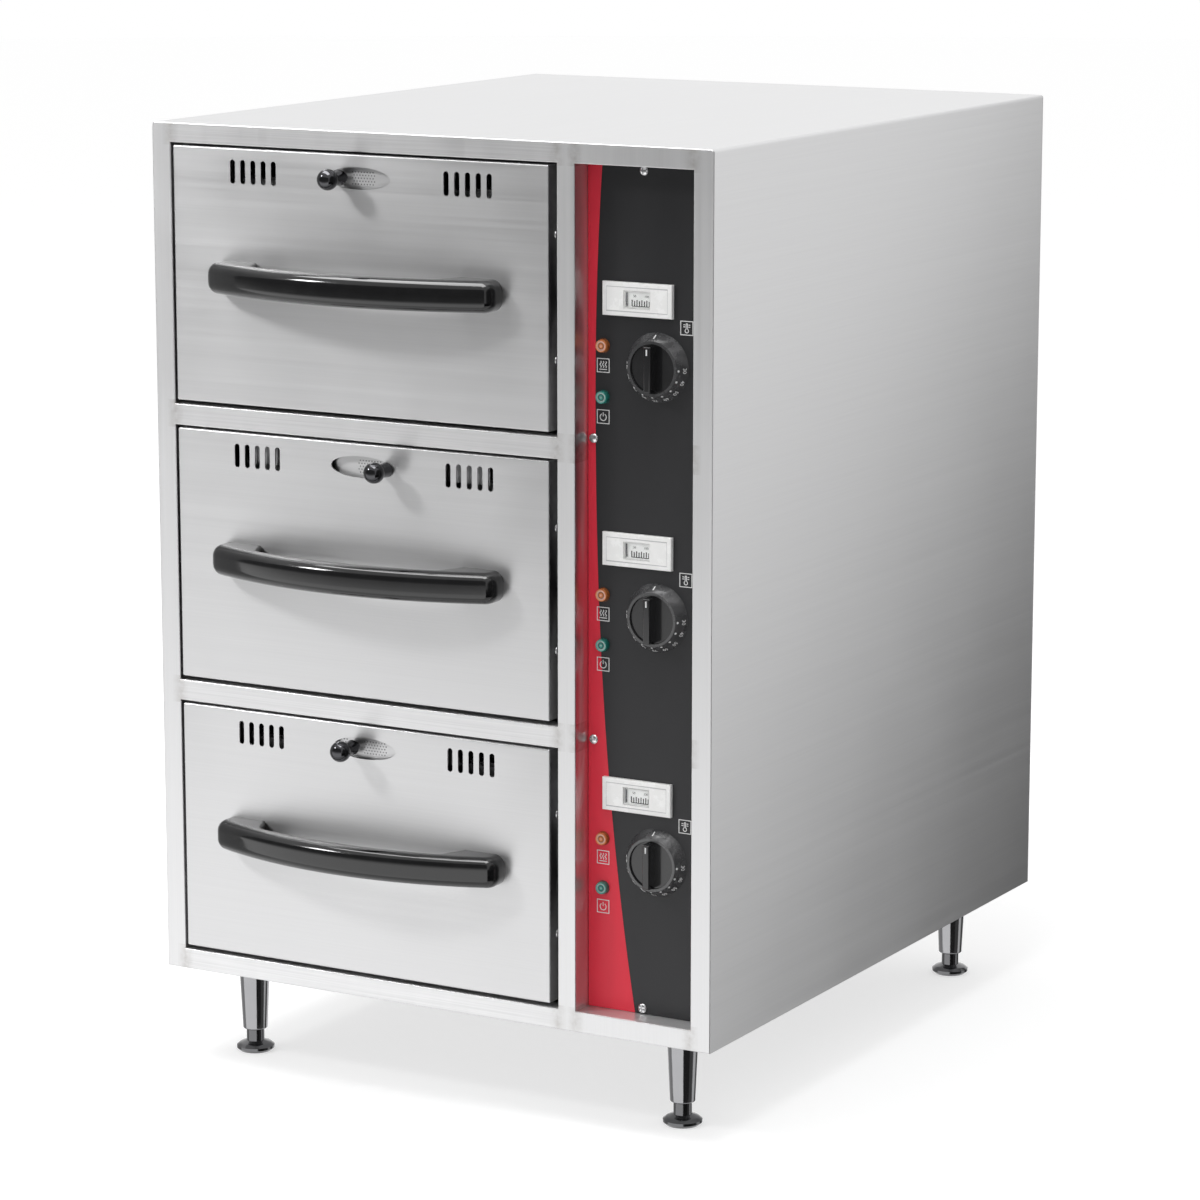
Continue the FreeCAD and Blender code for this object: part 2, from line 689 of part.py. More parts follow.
def make_outer_casing():
    """Top and both sides in one folded sheet, with flanges for the rear panel."""
    body = new_body("outer_casing")
    sheet_edge, height = d.casing_sheet, body_height
    inside = half_width - sheet_edge
    section = front_sketch(body, "casing_section", sheet_edge)
    outline(section, [
        (-half_width, 0), (-half_width, height), (half_width, height), (half_width, 0),
        (inside, 0), (inside, height - sheet_edge), (-inside, height - sheet_edge), (-inside, 0),
    ])
    pad_back(section, body_depth - sheet_edge * 2)
    round_edges(body, "casing_outer_bends", d.corner_bend,
                runs_back((-half_width, half_width), height))
    round_edges(body, "casing_inner_bends", d.corner_bend - sheet_edge,
                runs_back((-inside, inside), height - sheet_edge))
    flanges = front_sketch(body, "rear_flanges", body_depth - sheet_edge * 2)
    edge = inside - d.rear_flange
    low = d.base_flange + sheet_edge
    top = height - sheet_edge
    outline(flanges, [
        (-inside, low), (-inside, top), (inside, top), (inside, low),
        (edge, low), (edge, top - d.rear_flange), (-edge, top - d.rear_flange), (-edge, low),
    ])
    for point in rear_screw_points():
        circle(flanges, point, d.panel_screw_radius + d.running_gap)
    pad_back(flanges, sheet_edge)
    return place(body)


def make_base_panel():
    """The floor of the cabinet, with side flanges and holes for the legs' studs."""
    body = new_body("base_panel")
    sheet_edge = d.casing_sheet
    inside = half_width - sheet_edge
    plate = plan_sketch(body, "base_plate")
    rectangle(plate, -inside, inside, sheet_edge, body_depth - sheet_edge)
    for _, across, back in leg_points():
        circle(plate, (across, back), d.leg_stud_radius + d.fit_gap)
    pad(plate, sheet_edge)
    flanges = plan_sketch(body, "base_flanges", sheet_edge)
    for side in (-1, 1):
        outer, inner = inside * side, (inside - sheet_edge) * side
        rectangle(flanges, outer, inner, sheet_edge, body_depth - sheet_edge * 2)
    pad(flanges, d.base_flange - sheet_edge)
    return place(body)


def make_rear_panel():
    """The rear cover, with air slots behind the control compartment and the cable gland's hole."""
    body = new_body("rear_panel")
    back = body_depth - d.casing_sheet
    plate = front_sketch(body, "rear_plate", back)
    rectangle(plate, -half_width, half_width, 0, body_height)
    circle(plate, (bay_left + d.gland_across, d.gland_lift), d.gland_thread + d.running_gap)
    for point in rear_screw_points():
        circle(plate, point, d.panel_screw_radius + d.running_gap)
    pad_back(plate, d.casing_sheet)
    round_edges(body, "rear_top_corners", d.corner_bend,
                runs_back((-half_width, half_width), body_height))
    slots = front_sketch(body, "air_slots", back)
    first = bay_left + d.bay_width / 2 - d.rear_slot_pitch * (d.rear_slot_count - 1) / 2
    for up in (body_height - d.rear_slot_drop, d.rear_slot_drop + d.gland_lift):
        upright_slot(slots, (first, up), d.rear_slot_width, d.rear_slot_height)
    repeat(cut(slots), slots, d.rear_slot_pitch, d.rear_slot_count)
    return place(body)


def make_inner_liner():
    """Left wall, back and right wall of the drawer cavities, folded from one sheet."""
    body = new_body("inner_liner")
    inner, outer = half_opening, liner_outer
    front, back = d.opening_return, liner_back
    walls = plan_sketch(body, "liner_walls", d.casing_sheet)
    outline(walls, [
        (-outer, front), (-inner, front), (-inner, back - d.liner_sheet),
        (inner, back - d.liner_sheet), (inner, front), (outer, front), (outer, back), (-outer, back),
    ])
    pad(walls, body_height - d.casing_sheet * 2)
    holes = side_sketch(body, "terminal_holes", inner)
    for back_place, up in terminal_points():
        circle(holes, (back_place, up), d.element_radius + d.fit_gap)
    cut(holes, d.liner_sheet * 2, reverse=True)
    return place(body, drawer_middle)


def make_cavity_decks():
    """Four flanged sheets: the roof, two shelves and the floor of the cavities."""
    decks = []
    for number, middle in enumerate(deck_heights()):
        body = new_body(f"cavity_deck_{number + 1}")
        top, half, sheet_edge = middle + d.liner_sheet / 2, half_opening, d.liner_sheet
        low = top - sheet_edge - d.deck_flange
        section = front_sketch(body, f"deck_section_{number + 1}", d.casing_sheet)
        outline(section, [
            (-half, low), (-half, top), (half, top), (half, low), (half - sheet_edge, low),
            (half - sheet_edge, top - sheet_edge), (sheet_edge - half, top - sheet_edge),
            (sheet_edge - half, low),
        ])
        pad_back(section, liner_back - d.liner_sheet - d.casing_sheet)
        decks.append(place(body, drawer_middle))
    return group("cavity_decks", decks)


def make_insulation():
    """Mineral wool slabs left of, right of and behind the liner."""
    low, high = d.base_flange + d.casing_sheet, body_height - d.casing_sheet
    left_wall = drawer_middle - liner_outer
    right_wall = drawer_middle + liner_outer
    front = d.bay_depth + d.casing_sheet * 2
    left = new_body("insulation_left")
    section = plan_sketch(left, "left_slab", low)
    rectangle(section, d.casing_sheet - half_width, left_wall, front, liner_back)
    pad(section, high - low - d.corner_bend)
    right = new_body("insulation_right_slab")
    section = plan_sketch(right, "right_slab", low)
    rectangle(section, right_wall, right_wall + d.insulation_right, front, liner_back)
    pad(section, high - low)
    holes = side_sketch(right, "insulation_holes", right_wall)
    for point in terminal_points():
        circle(holes, point, d.element_radius + d.fit_gap)
    cut(holes, reverse=True)
    rear = new_body("insulation_rear")
    section = plan_sketch(rear, "rear_slab", low)
    rectangle(section, left_wall, right_wall, liner_back, body_depth - d.casing_sheet * 2)
    pad(section, high - low - d.rear_flange - d.casing_sheet)
    return group("insulation", [place(left), place(right), place(rear)])


def make_heating_elements():
    """One tubular element to each cavity, a serpentine of four runs on two saddles."""
    solids = []
    turn_radius = d.element_pitch / 2
    turn_left = d.element_side_gap + turn_radius - half_opening
    turn_right = half_opening - d.element_side_gap - turn_radius
    ends = liner_outer + d.element_end
    for number, name in enumerate(DRAWERS):
        up = cavity_floor(number) + d.element_lift
        body = new_body(f"element_{name}")
        route = plan_sketch(body, f"element_route_{name}", up)
        corners = [
            (ends, runs[0]), (turn_left, runs[0]), (turn_left, runs[1]), (turn_right, runs[1]),
            (turn_right, runs[2]), (turn_left, runs[2]), (turn_left, runs[3]), (ends, runs[3]),
        ]
        bends = {1: (turn_radius, -1), 3: (turn_radius, 1), 5: (turn_radius, -1)}
        outline(route, corners, bends, closed=False)
        section = side_sketch(body, f"element_section_{name}", ends)
        circle(section, (runs[0], up), d.element_radius)
        tube = body.newObject("PartDesign::AdditivePipe", f"element_tube_{name}")
        tube.Profile = section
        tube.Spine = route
        solids.append(place(body, drawer_middle))
        for side, sign in SIDES:
            saddle = new_body(f"saddle_{name}_{side}")
            foot = plan_sketch(saddle, f"saddle_foot_{name}_{side}", cavity_floor(number))
            middle = turn_right * sign
            half = d.saddle_width / 2
            rectangle(foot, middle - half, middle + half, runs[0] - half, runs[3] + half)
            pad(foot, d.element_lift - d.element_radius)
            solids.append(place(saddle, drawer_middle))
    return group("heating_elements", solids)


def make_legs():
    """Four turned leg tubes, each with a stud above and a bore for the foot's stem below."""
    legs = []
    bore = d.foot_stem_radius + d.running_gap
    bore_end = d.foot_stem_grip + d.foot_travel + d.fit_gap - d.leg_length
    for name, across, back in leg_points():
        body = new_body(f"leg_{name}")
        section = front_sketch(body, f"leg_section_{name}")
        outline(section, [
            (0, d.leg_stud_height), (0, bore_end), (bore, bore_end), (bore, -d.leg_length),
            (d.leg_low_radius, -d.leg_length), (d.leg_top_radius, 0), (d.leg_stud_radius, 0),
            (d.leg_stud_radius, d.leg_stud_height),
        ])
        turn(section, "V_Axis")
        round_edges(body, f"leg_edge_{name}", d.leg_edge,
                    at_ring(-d.leg_length, d.leg_low_radius))
        legs.append(place(body, across, back))
    return group("legs", legs)


def at_ring(up, radius):
    """A test for a round edge about z at a height."""
    def wanted(edge, points):
        return all(near(point.z, up) for point in points) and is_round(edge, radius)
    return wanted


def is_round(edge, radius):
    """True for an edge of a circle with this radius."""
    return isinstance(edge.Curve, Part.Circle) and near(edge.Curve.Radius, radius)


def make_foot(name, across, back):
    """A levelling foot: a disc with a domed top and a stem in the leg tube."""
    body = new_body(f"foot_{name}")
    section = front_sketch(body, f"foot_section_{name}")
    disc_top = -d.leg_length - d.foot_stem_shown
    floor = disc_top - d.foot_height
    stem = d.foot_stem_radius
    outline(section, [
        (0, floor), (d.foot_radius - d.foot_height / 4, floor),
        (d.foot_radius, floor + d.foot_height / 4), (d.foot_radius, floor + d.foot_height / 2),
        (d.foot_radius - d.foot_height / 3, disc_top - d.foot_height / 4), (stem, disc_top),
        (stem, d.foot_stem_grip - d.leg_length), (0, d.foot_stem_grip - d.leg_length),
    ])
    turn(section, "V_Axis")
    return place(body, across, back)


# ---------------------------------------------------------------- runners
def runner_section(sketch, side, near_wall, far, half_height, web_at_wall):
    """A channel of the runner; near_wall and far are distances in from the cavity wall."""
    edge = d.rail_sheet
    web, tip = (near_wall, far) if web_at_wall else (far, near_wall)
    web_inside = web + edge if web_at_wall else web - edge
    axis = -d.rail_drop
    points = [
        (web, -half_height), (tip, -half_height), (tip, edge - half_height),
        (web_inside, edge - half_height), (web_inside, half_height - edge),
        (tip, half_height - edge), (tip, half_height), (web, half_height),
    ]
    outline(sketch, [((half_opening - along) * side, axis + up) for along, up in points])


def make_runner_member(label, number, near_wall, far, half_height, web_at_wall):
    """Left and right members of one kind for one drawer."""
    members = []
    for side, sign in SIDES:
        body = new_body(f"{label}_{side}")
        section = front_sketch(body, f"{label}_{side}_section", d.rail_front)
        runner_section(section, sign, sized(near_wall), far, half_height, web_at_wall)
        pad_back(section, d.rail_length)
        members.append(place(body, drawer_middle, 0, opening_top(number)))
    return members


def make_runners():
    """Outer rails of all drawers in one node, middle and inner rails by drawer."""
    step = d.rail_sheet + d.rail_gap
    outer_half = d.rail_height / 2
    tips = d.slide_width - d.rail_gap
    outer, pieces = [], []
    for number, name in enumerate(DRAWERS):
        outer += make_runner_member(f"outer_rail_{name}", number, 0, tips, outer_half, True)
        middle = make_runner_member(
            f"middle_rail_{name}", number, step, tips, outer_half - step, True)
        pieces.append(group(f"middle_rails_{name}", middle))
        inner = make_runner_member(
            f"inner_rail_{name}", number, step * 2, d.slide_width, outer_half - step * 2, False)
        pieces.append(group(f"inner_rails_{name}", inner))
    return [group("outer_rails", outer)] + pieces


# ---------------------------------------------------------------- drawers
def side_screw_heights():
    """Heights of the two screws in each side of a drawer front."""
    return [handle_line + d.side_screw_spread, handle_line - d.side_screw_spread]


def handle_screw_places():
    """Places across of the two handle screws."""
    offset = d.handle_length / 2 - d.handle_screw_inset
    return [front_middle - offset, front_middle + offset]


def make_front_shell(name, up):
    """The drawer front: a folded sheet shell with vents, an oval for the knob and shutter guides."""
    body = new_body(f"drawer_front_{name}")
    block = front_sketch(body, f"front_block_{name}")
    rectangle(block, front_left, front_right, front_low, front_high)
    pad_back(block, d.front_depth)
    round_edges(body, f"front_side_bends_{name}", d.front_bend,
                runs_back((front_left, front_right), None))
    round_edges(body, f"front_face_bends_{name}", d.front_bend, on_front(0))
    edge = d.front_sheet
    hollow = front_sketch(body, f"front_hollow_{name}", edge)
    rectangle(hollow, front_left + edge, front_right - edge, front_low + edge, front_high - edge)
    cut(hollow)
    slots = front_sketch(body, f"vent_slots_{name}")
    to_first = d.slot_pitch * (d.slot_count - 1) / 2
    for sign in (-1, 1):
        upright_slot(slots, (d.group_offset * sign - to_first, vent_line),
                     d.slot_width, d.slot_height)
    repeat(cut(slots, edge), slots, d.slot_pitch, d.slot_count)
    holes = front_sketch(body, f"front_holes_{name}")
    oval(holes, (sized(0), vent_line), d.oval_length, d.oval_height)
    for across in handle_screw_places():
        circle(holes, (across, handle_line), d.screw_radius + d.running_gap)
    cut(holes, edge)
    side_holes = side_sketch(body, f"front_side_holes_{name}", front_left)
    for height in side_screw_heights():
        circle(side_holes, (d.side_screw_depth, height), d.screw_radius + d.running_gap)
    cut(side_holes, reverse=True)
    add_shutter_guides(body, name)
    return place(body, drawer_middle, 0, up)


def add_shutter_guides(body, name):
    """Two grooved strips behind the sheet, in which the shutter's edges slide."""
    left = d.shutter_left + d.shutter_travel + d.guide_wall
    right = d.shutter_right + d.shutter_travel + d.guide_wall
    middle = d.shutter_middle + d.shutter_travel + d.guide_wall
    guides = (
        ("upper", 1, d.shutter_top, left, left + right),
        ("lower", -1, d.shutter_heel, middle, middle * 2),
    )
    for kind, side, reach, start, length in guides:
        groove_end = vent_line + (reach + d.fit_gap) * side
        mouth = vent_line + (reach - d.guide_grip + d.guide_wall) * side
        back_edge = groove_end + d.guide_wall * side
        strip = side_sketch(body, f"{kind}_guide_{name}", -start)
        front_wall = shutter_front - d.fit_gap
        rear_wall = guide_back - d.guide_wall
        outline(strip, [
            (d.front_sheet, back_edge), (guide_back, back_edge), (guide_back, mouth),
            (rear_wall, mouth), (rear_wall, groove_end), (front_wall, groove_end),
            (front_wall, mouth), (front_wall - d.guide_wall, mouth),
            (front_wall - d.guide_wall, groove_end), (d.front_sheet, groove_end),
        ])
        pad(strip, length)


def make_inner_plate(name, up):
    """The plate that closes the drawer front, flanged into it, with air windows at the vents."""
    body = new_body(f"inner_plate_{name}")
    edge = d.front_sheet
    left, right = front_left + edge, front_right - edge
    low, high = front_low + edge, front_high - edge
    front = d.front_depth - d.plate_flange
    block = front_sketch(body, f"plate_block_{name}", front)
    rectangle(block, left, right, low, high)
    pad_back(block, d.plate_flange)
    hollow = front_sketch(body, f"plate_hollow_{name}", d.front_depth - edge)
    rectangle(hollow, left + edge, right - edge, low + edge, high - edge)
    cut(hollow, reverse=True)
    windows = front_sketch(body, f"plate_windows_{name}", front)
    half = d.slot_pitch * (d.slot_count - 1) / 2 + d.slot_width
    half_height = d.slot_height / 2
    for sign in (-1, 1):
        middle = d.group_offset * sign
        rectangle(windows, middle - half, middle + half,
                  vent_line - half_height, vent_line + half_height)
    cut(windows)
    holes = side_sketch(body, f"plate_side_holes_{name}", left)
    for height in side_screw_heights():
        circle(holes, (d.side_screw_depth, height), d.screw_radius + d.running_gap)
    cut(holes, reverse=True)
    return place(body, drawer_middle, 0, up)


def make_carrier(name, up):
    """The frame behind the drawer front that carries the pan by its rim."""
    body = new_body(f"pan_carrier_{name}")
    edge = d.carrier_sheet
    low = -d.rim_drop - d.carrier_height
    block = plan_sketch(body, f"carrier_block_{name}", low)
    rectangle(block, -carrier_half, carrier_half, d.front_depth, carrier_back)
    pad(block, d.carrier_height)
    hollow = plan_sketch(body, f"carrier_hollow_{name}", low)
    rectangle(hollow, edge - carrier_half, carrier_half - edge,
              d.front_depth + edge, carrier_back - edge)
    cut(hollow, d.carrier_height - edge, reverse=True)
    opening = plan_sketch(body, f"carrier_opening_{name}", low)
    half = d.pan_width / 2 - d.pan_rim + d.pan_clearance
    rectangle(opening, -half, half, pan_front + d.pan_rim - d.pan_clearance,
              pan_back - d.pan_rim + d.pan_clearance)
    cut(opening, reverse=True)
    return place(body, drawer_middle, 0, up)


def make_pan(name, up):
    """A drawn food pan with tapered walls, round corners and a flat rim."""
    body = new_body(f"food_pan_{name}")
    rim_low = -d.rim_drop
    rim = plan_sketch(body, f"pan_rim_{name}", rim_low)
    half = d.pan_width / 2
    rectangle(rim, -half, half, pan_front, pan_back)
    pad(rim, d.pan_sheet)
    round_edges(body, f"pan_rim_corners_{name}", d.pan_rim_corner, upright)
    tub = plan_sketch(body, f"pan_tub_{name}", rim_low)
    inset = d.pan_rim
    rectangle(tub, inset - half, half - inset, pan_front + inset, pan_back - inset)
    pad(tub, d.pan_depth, reverse=True, taper=-d.pan_taper)
    rim_top = rim_low + d.pan_sheet
    inside = plan_sketch(body, f"pan_inside_{name}", rim_top)
    inset = d.pan_rim + d.pan_sheet
    rectangle(inside, inset - half, half - inset, pan_front + inset, pan_back - inset)
    cut(inside, d.pan_depth, taper=-d.pan_taper)
    round_edges(body, f"pan_inner_corners_{name}", d.pan_corner - d.pan_sheet,
                reaches_down_to(rim_top - d.pan_depth))
    round_edges(body, f"pan_outer_corners_{name}", d.pan_corner,
                reaches_down_to(rim_low - d.pan_depth))
    return place(body, drawer_middle, 0, up)


def upright(edge, points):
    """A test for edges along z."""
    first, last = points[0], points[-2]
    return near(first.x, last.x) and near(first.y, last.y)


def reaches_down_to(up):
    """A test for straight edges whose lowest point is at a height."""
    def wanted(edge, points):
        return isinstance(edge.Curve, Part.Line) and near(min(point.z for point in points), up)
    return wanted


def make_handle(name, up):
    """A bowed handle: plan outline padded to its height, with round corners and long edges."""
    body = new_body(f"handle_{name}")
    half, reach = d.handle_length / 2, d.handle_reach
    foot = half - d.handle_foot
    throat = foot - d.handle_flare
    rise = reach - d.handle_shoulder
    outer_radius = (half * half + rise * rise) / (rise * 2)
    inner_rise = reach - d.handle_bar - d.handle_throat
    inner_radius = (throat * throat + inner_rise * inner_rise) / (inner_rise * 2)
    bow = plan_sketch(body, f"handle_bow_{name}", -d.handle_height / 2)
    corners = [
        (-half, 0), (-half, -d.handle_shoulder), (half, -d.handle_shoulder), (half, 0),
        (foot, 0), (throat, -d.handle_throat), (-throat, -d.handle_throat), (-foot, 0),
    ]
    outline(bow, corners, {1: (outer_radius, 1), 5: (inner_radius, -1)})
    pad(bow, d.handle_height)
    round_edges(body, f"handle_ends_{name}", d.handle_end_round,
                upright_at(half, d.handle_shoulder))
    round_edges(body, f"handle_throats_{name}", d.handle_throat_round,
                upright_at(throat, d.handle_throat))
    round_edges(body, f"handle_outer_edges_{name}", d.handle_edge_round,
                handle_rim(d.handle_height / 2, outer=True, half=half, throat=throat))
    round_edges(body, f"handle_inner_edges_{name}", d.handle_inner_round,
                handle_rim(d.handle_height / 2, outer=False, half=half, throat=throat))
    bores = front_sketch(body, f"handle_bores_{name}")
    offset = half - d.handle_screw_inset
    for across in (-offset, offset):
        circle(bores, (across, sized(0)), d.screw_radius + d.running_gap)
    cut(bores, d.handle_screw_grip + 1, reverse=True)
    return place(body, drawer_middle + front_middle, 0, up + handle_line)


def upright_at(across, forward):
    """A test for upright edges at a distance each side of the middle, in front of the sheet."""
    def wanted(edge, points):
        placed = all(near(abs(point.x), across) and near(-point.y, forward) for point in points)
        return placed and upright(edge, points)
    return wanted


def handle_rim(level, outer, half, throat):
    """A test for the handle's long edges: those of its outer face, or those of its inner face."""
    def wanted(edge, points):
        at_level = all(near(abs(point.z), level) for point in points)
        on_sheet = all(near(point.y, 0) for point in points)
        middle = points[-1]
        shoulder = -(sized(d.handle_throat).number + sized(d.handle_bar).number)
        outside = abs(middle.x) > half.number - d.handle_end_round.number or middle.y < shoulder
        return at_level and not on_sheet and outside == outer
    return wanted


def make_shutter(name, up, rest):
    """The sliding vent plate: a wing for each slot group on a common bar."""
    body = new_body(f"vent_shutter_{name}")
    plate = front_sketch(body, f"shutter_plate_{name}", shutter_front)
    top = vent_line + d.shutter_top
    bar = top - d.shutter_bar
    wing = vent_line - d.shutter_wing
    heel = vent_line - d.shutter_heel
    middle = d.shutter_middle
    outline(plate, [
        (-d.shutter_left, top), (d.shutter_right, top), (d.shutter_right, wing), (middle, wing),
        (middle, heel), (-middle, heel), (-middle, wing), (-d.window_right, wing),
        (-d.window_right, bar), (-d.window_left, bar), (-d.window_left, wing),
        (-d.shutter_left, wing),
    ])
    circle(plate, (sized(0), vent_line), d.tenon_radius + d.running_gap)
    pad_back(plate, d.shutter_sheet)
    return place(body, drawer_middle + rest, 0, up)


NECK_BACK = 0.8
NECK_OUT = 0.6


def make_vent_knob(name, up, rest):
    """A ball on a collar, with a stem through the oval and a tenon in the shutter."""
    body = new_body(f"vent_knob_{name}")
    section = side_sketch(body, f"vent_knob_section_{name}")
    tenon_end = shutter_front + d.shutter_sheet * 2
    collar_back = -d.collar_gap
    neck = -d.ball_reach + d.ball_radius * NECK_BACK
    outline(section, [
        (tenon_end, 0), (tenon_end, d.tenon_radius), (shutter_front, d.tenon_radius),
        (shutter_front, d.stem_radius), (collar_back, d.stem_radius),
        (collar_back, d.collar_radius), (neck, d.ball_radius * NECK_OUT),
        (-d.ball_reach - d.ball_radius, 0),
    ], {6: (d.ball_radius, 1)})
    turn(section, "H_Axis")
    return place(body, drawer_middle + rest, 0, up + vent_line)


# where the ball meets its collar, as shares of its radius behind and off its middle


def pan_head_screw(label, grip, head_radius, head_height, radius):
    """A pan head screw along -y from its head's seat, drawn about the origin."""
    body = new_body(label)
    section = side_sketch(body, label + "_section")
    outline(section, [
        (-grip, 0), (-grip, radius), (0, radius), (0, head_radius),
        (head_height / 2, head_radius), (head_height, head_radius / 2), (head_height, 0),
    ])
    turn(section, "H_Axis")
    return body


def make_drawer_screws(name, up):
    """Two handle screws from behind and four screws in the sides of a drawer front."""
    screws = []
    head = (d.screw_head_radius, d.screw_head_height, d.screw_radius)
    for (side, sign), across in zip(SIDES, handle_screw_places()):
        body = pan_head_screw(
            f"handle_screw_{name}_{side}", d.front_sheet + d.handle_screw_grip, *head)
        screws.append(place(body, drawer_middle + across, d.front_sheet, up + handle_line))
    for (side, sign), edge in zip(SIDES, (front_left, front_right)):
        for level, height in zip(("upper", "lower"), side_screw_heights()):
            body = pan_head_screw(f"side_screw_{name}_{side}_{level}", d.side_screw_grip, *head)
            body.Placement = Placement(Vector(), Rotation(Vector(0, 0, 1), -90 * sign))
            screws.append(place(body, drawer_middle + edge, d.side_screw_depth, up + height))
    return group(f"drawer_screws_{name}", screws)


def make_drawer(number, name):
    """All pieces of one drawer."""
    up = opening_top(number)
    rest = (d.shutter_rest_top, d.shutter_rest_middle, d.shutter_rest_bottom)[number]
    return [
        make_front_shell(name, up), make_inner_plate(name, up), make_carrier(name, up),
        make_pan(name, up), make_handle(name, up), make_drawer_screws(name, up),
        make_shutter(name, up, rest), make_vent_knob(name, up, rest),
    ]


# ---------------------------------------------------------------- controls
def make_control_panel():
    """The recessed panel with holes for knobs, lamps, thermometers and screws."""
    body = new_body("control_panel")
    plate = front_sketch(body, "panel_plate", d.bay_depth)
    gap = d.fit_gap
    rectangle(plate, bay_left + gap, bay_right - gap, bay_low + gap, frame_top - gap)
    for point in panel_screw_points():
        circle(plate, point, d.panel_screw_radius + d.running_gap)
    for point in control_points(d.knob_across, d.knob_drop):
        circle(plate, point, d.shaft_hole)
    for drop in (d.amber_drop, d.green_drop):
        for point in control_points(d.lamp_across, drop):
            circle(plate, point, d.lamp_body_radius + d.running_gap)
    half_case, half_height = d.case_width / 2 + gap, d.case_height / 2 + gap
    for across, up in control_points(d.thermometer_across, d.thermometer_drop):
        rectangle(plate, across - half_case, across + half_case,
                  up - half_height, up + half_height)
    pad_back(plate, d.casing_sheet)
    return place(body)


def make_panel_screws():
    """Four pan head screws in the control panel."""
    screws = []
    for number, (across, up) in enumerate(panel_screw_points(), 1):
        body = pan_head_screw(f"panel_screw_{number}", d.panel_screw_grip, d.panel_head_radius,
                            d.panel_head_height, d.panel_screw_radius)
        body.Placement = Placement(Vector(), Rotation(Vector(0, 0, 1), 180))
        screws.append(place(body, across, d.bay_depth, up))
    return group("panel_screws", screws)


def make_rear_screws():
    """Six pan head screws that hold the rear panel."""
    screws = []
    for number, (across, up) in enumerate(rear_screw_points(), 1):
        body = pan_head_screw(f"rear_screw_{number}", d.panel_screw_grip, d.panel_head_radius,
                            d.panel_head_height, d.panel_screw_radius)
        screws.append(place(body, across, body_depth, up))
    return group("rear_screws", screws)


def make_thermometers():
    """Cases with a stepped scale window, their clear windows and their pointers."""
    cases, windows, pointers = [], [], []
    points = control_points(d.thermometer_across, d.thermometer_drop)
    face = -d.thermometer_proud
    scale = face + d.window_depth
    half_window, half_high = d.window_width / 2, d.window_height / 2
    for name, (across, up) in zip(DRAWERS, points):
        case = new_body(f"thermometer_case_{name}")
        bezel = front_sketch(case, f"thermometer_bezel_{name}", face)
        rectangle(bezel, -d.thermometer_width / 2, d.thermometer_width / 2,
                  -d.thermometer_height / 2, d.thermometer_height / 2)
        pad_back(bezel, d.thermometer_proud)
        round_edges(case, f"thermometer_edges_{name}", d.window_sheet, on_front(face))
        rear = front_sketch(case, f"thermometer_rear_{name}")
        rectangle(rear, -d.case_width / 2, d.case_width / 2,
                  -d.case_height / 2, d.case_height / 2)
        pad_back(rear, d.case_depth)
        seat = front_sketch(case, f"window_seat_{name}", face)
        rectangle(seat, -half_window, half_window, -half_high, half_high)
        cut(seat, d.window_sheet)
        well = front_sketch(case, f"scale_well_{name}", face)
        well_half, well_high = half_window - d.window_ledge, half_high - d.window_ledge
        rectangle(well, -well_half, well_half, -well_high, well_high)
        cut(well, d.window_depth)
        cases.append(place(case, across, d.bay_depth, up))
        windows.append(make_window(name, across, up, face))
        pointers.append(make_pointer(name, across - well_half + d.pointer_margin, up, scale))
    return [group("thermometer_cases", cases), group("thermometer_windows", windows)] + pointers


def make_window(name, across, up, face):
    """The clear window that lies on the ledge of a thermometer."""
    body = new_body(f"thermometer_window_{name}")
    pane = front_sketch(body, f"window_pane_{name}", face)
    half_wide = d.window_width / 2 - d.running_gap
    half_high = d.window_height / 2 - d.running_gap
    rectangle(pane, -half_wide, half_wide, -half_high, half_high)
    pad_back(pane, d.window_sheet)
    return place(body, across, d.bay_depth, up)


def make_pointer(name, across, up, scale):
    """An upright pointer on a foot that rides just in front of the scale plate."""
    body = new_body(f"thermometer_pointer_{name}")
    foot_front = scale - d.fit_gap - d.pointer_sheet
    blade = front_sketch(body, f"pointer_blade_{name}", foot_front - d.pointer_sheet)
    half = d.pointer_height / 2
    rectangle(blade, -d.pointer_width / 2, d.pointer_width / 2, -half, half)
    pad_back(blade, d.pointer_sheet)
    foot = front_sketch(body, f"pointer_foot_{name}", foot_front)
    rectangle(foot, -d.pointer_width / 2, d.pointer_width / 2, -half, d.pointer_foot - half)
    pad_back(foot, d.pointer_sheet)
    return place(body, across, d.bay_depth, up)


def make_knob_bezels():
    """Three conical scale rings."""
    rings = []
    points = control_points(d.knob_across, d.knob_drop)
    well = d.knob_radius + d.knob_gap
    for name, (across, up) in zip(DRAWERS, points):
        body = new_body(f"knob_bezel_{name}")
        section = side_sketch(body, f"knob_bezel_section_{name}")
        outline(section, [
            (0, d.shaft_hole), (0, d.bezel_radius), (-d.bezel_height, d.bezel_face_radius),
            (-d.bezel_height, well), (-d.bezel_floor, well), (-d.bezel_floor, d.shaft_hole),
        ])
        turn(section, "H_Axis")
        rings.append(place(body, across, d.bay_depth, up))
    return group("knob_bezels", rings)


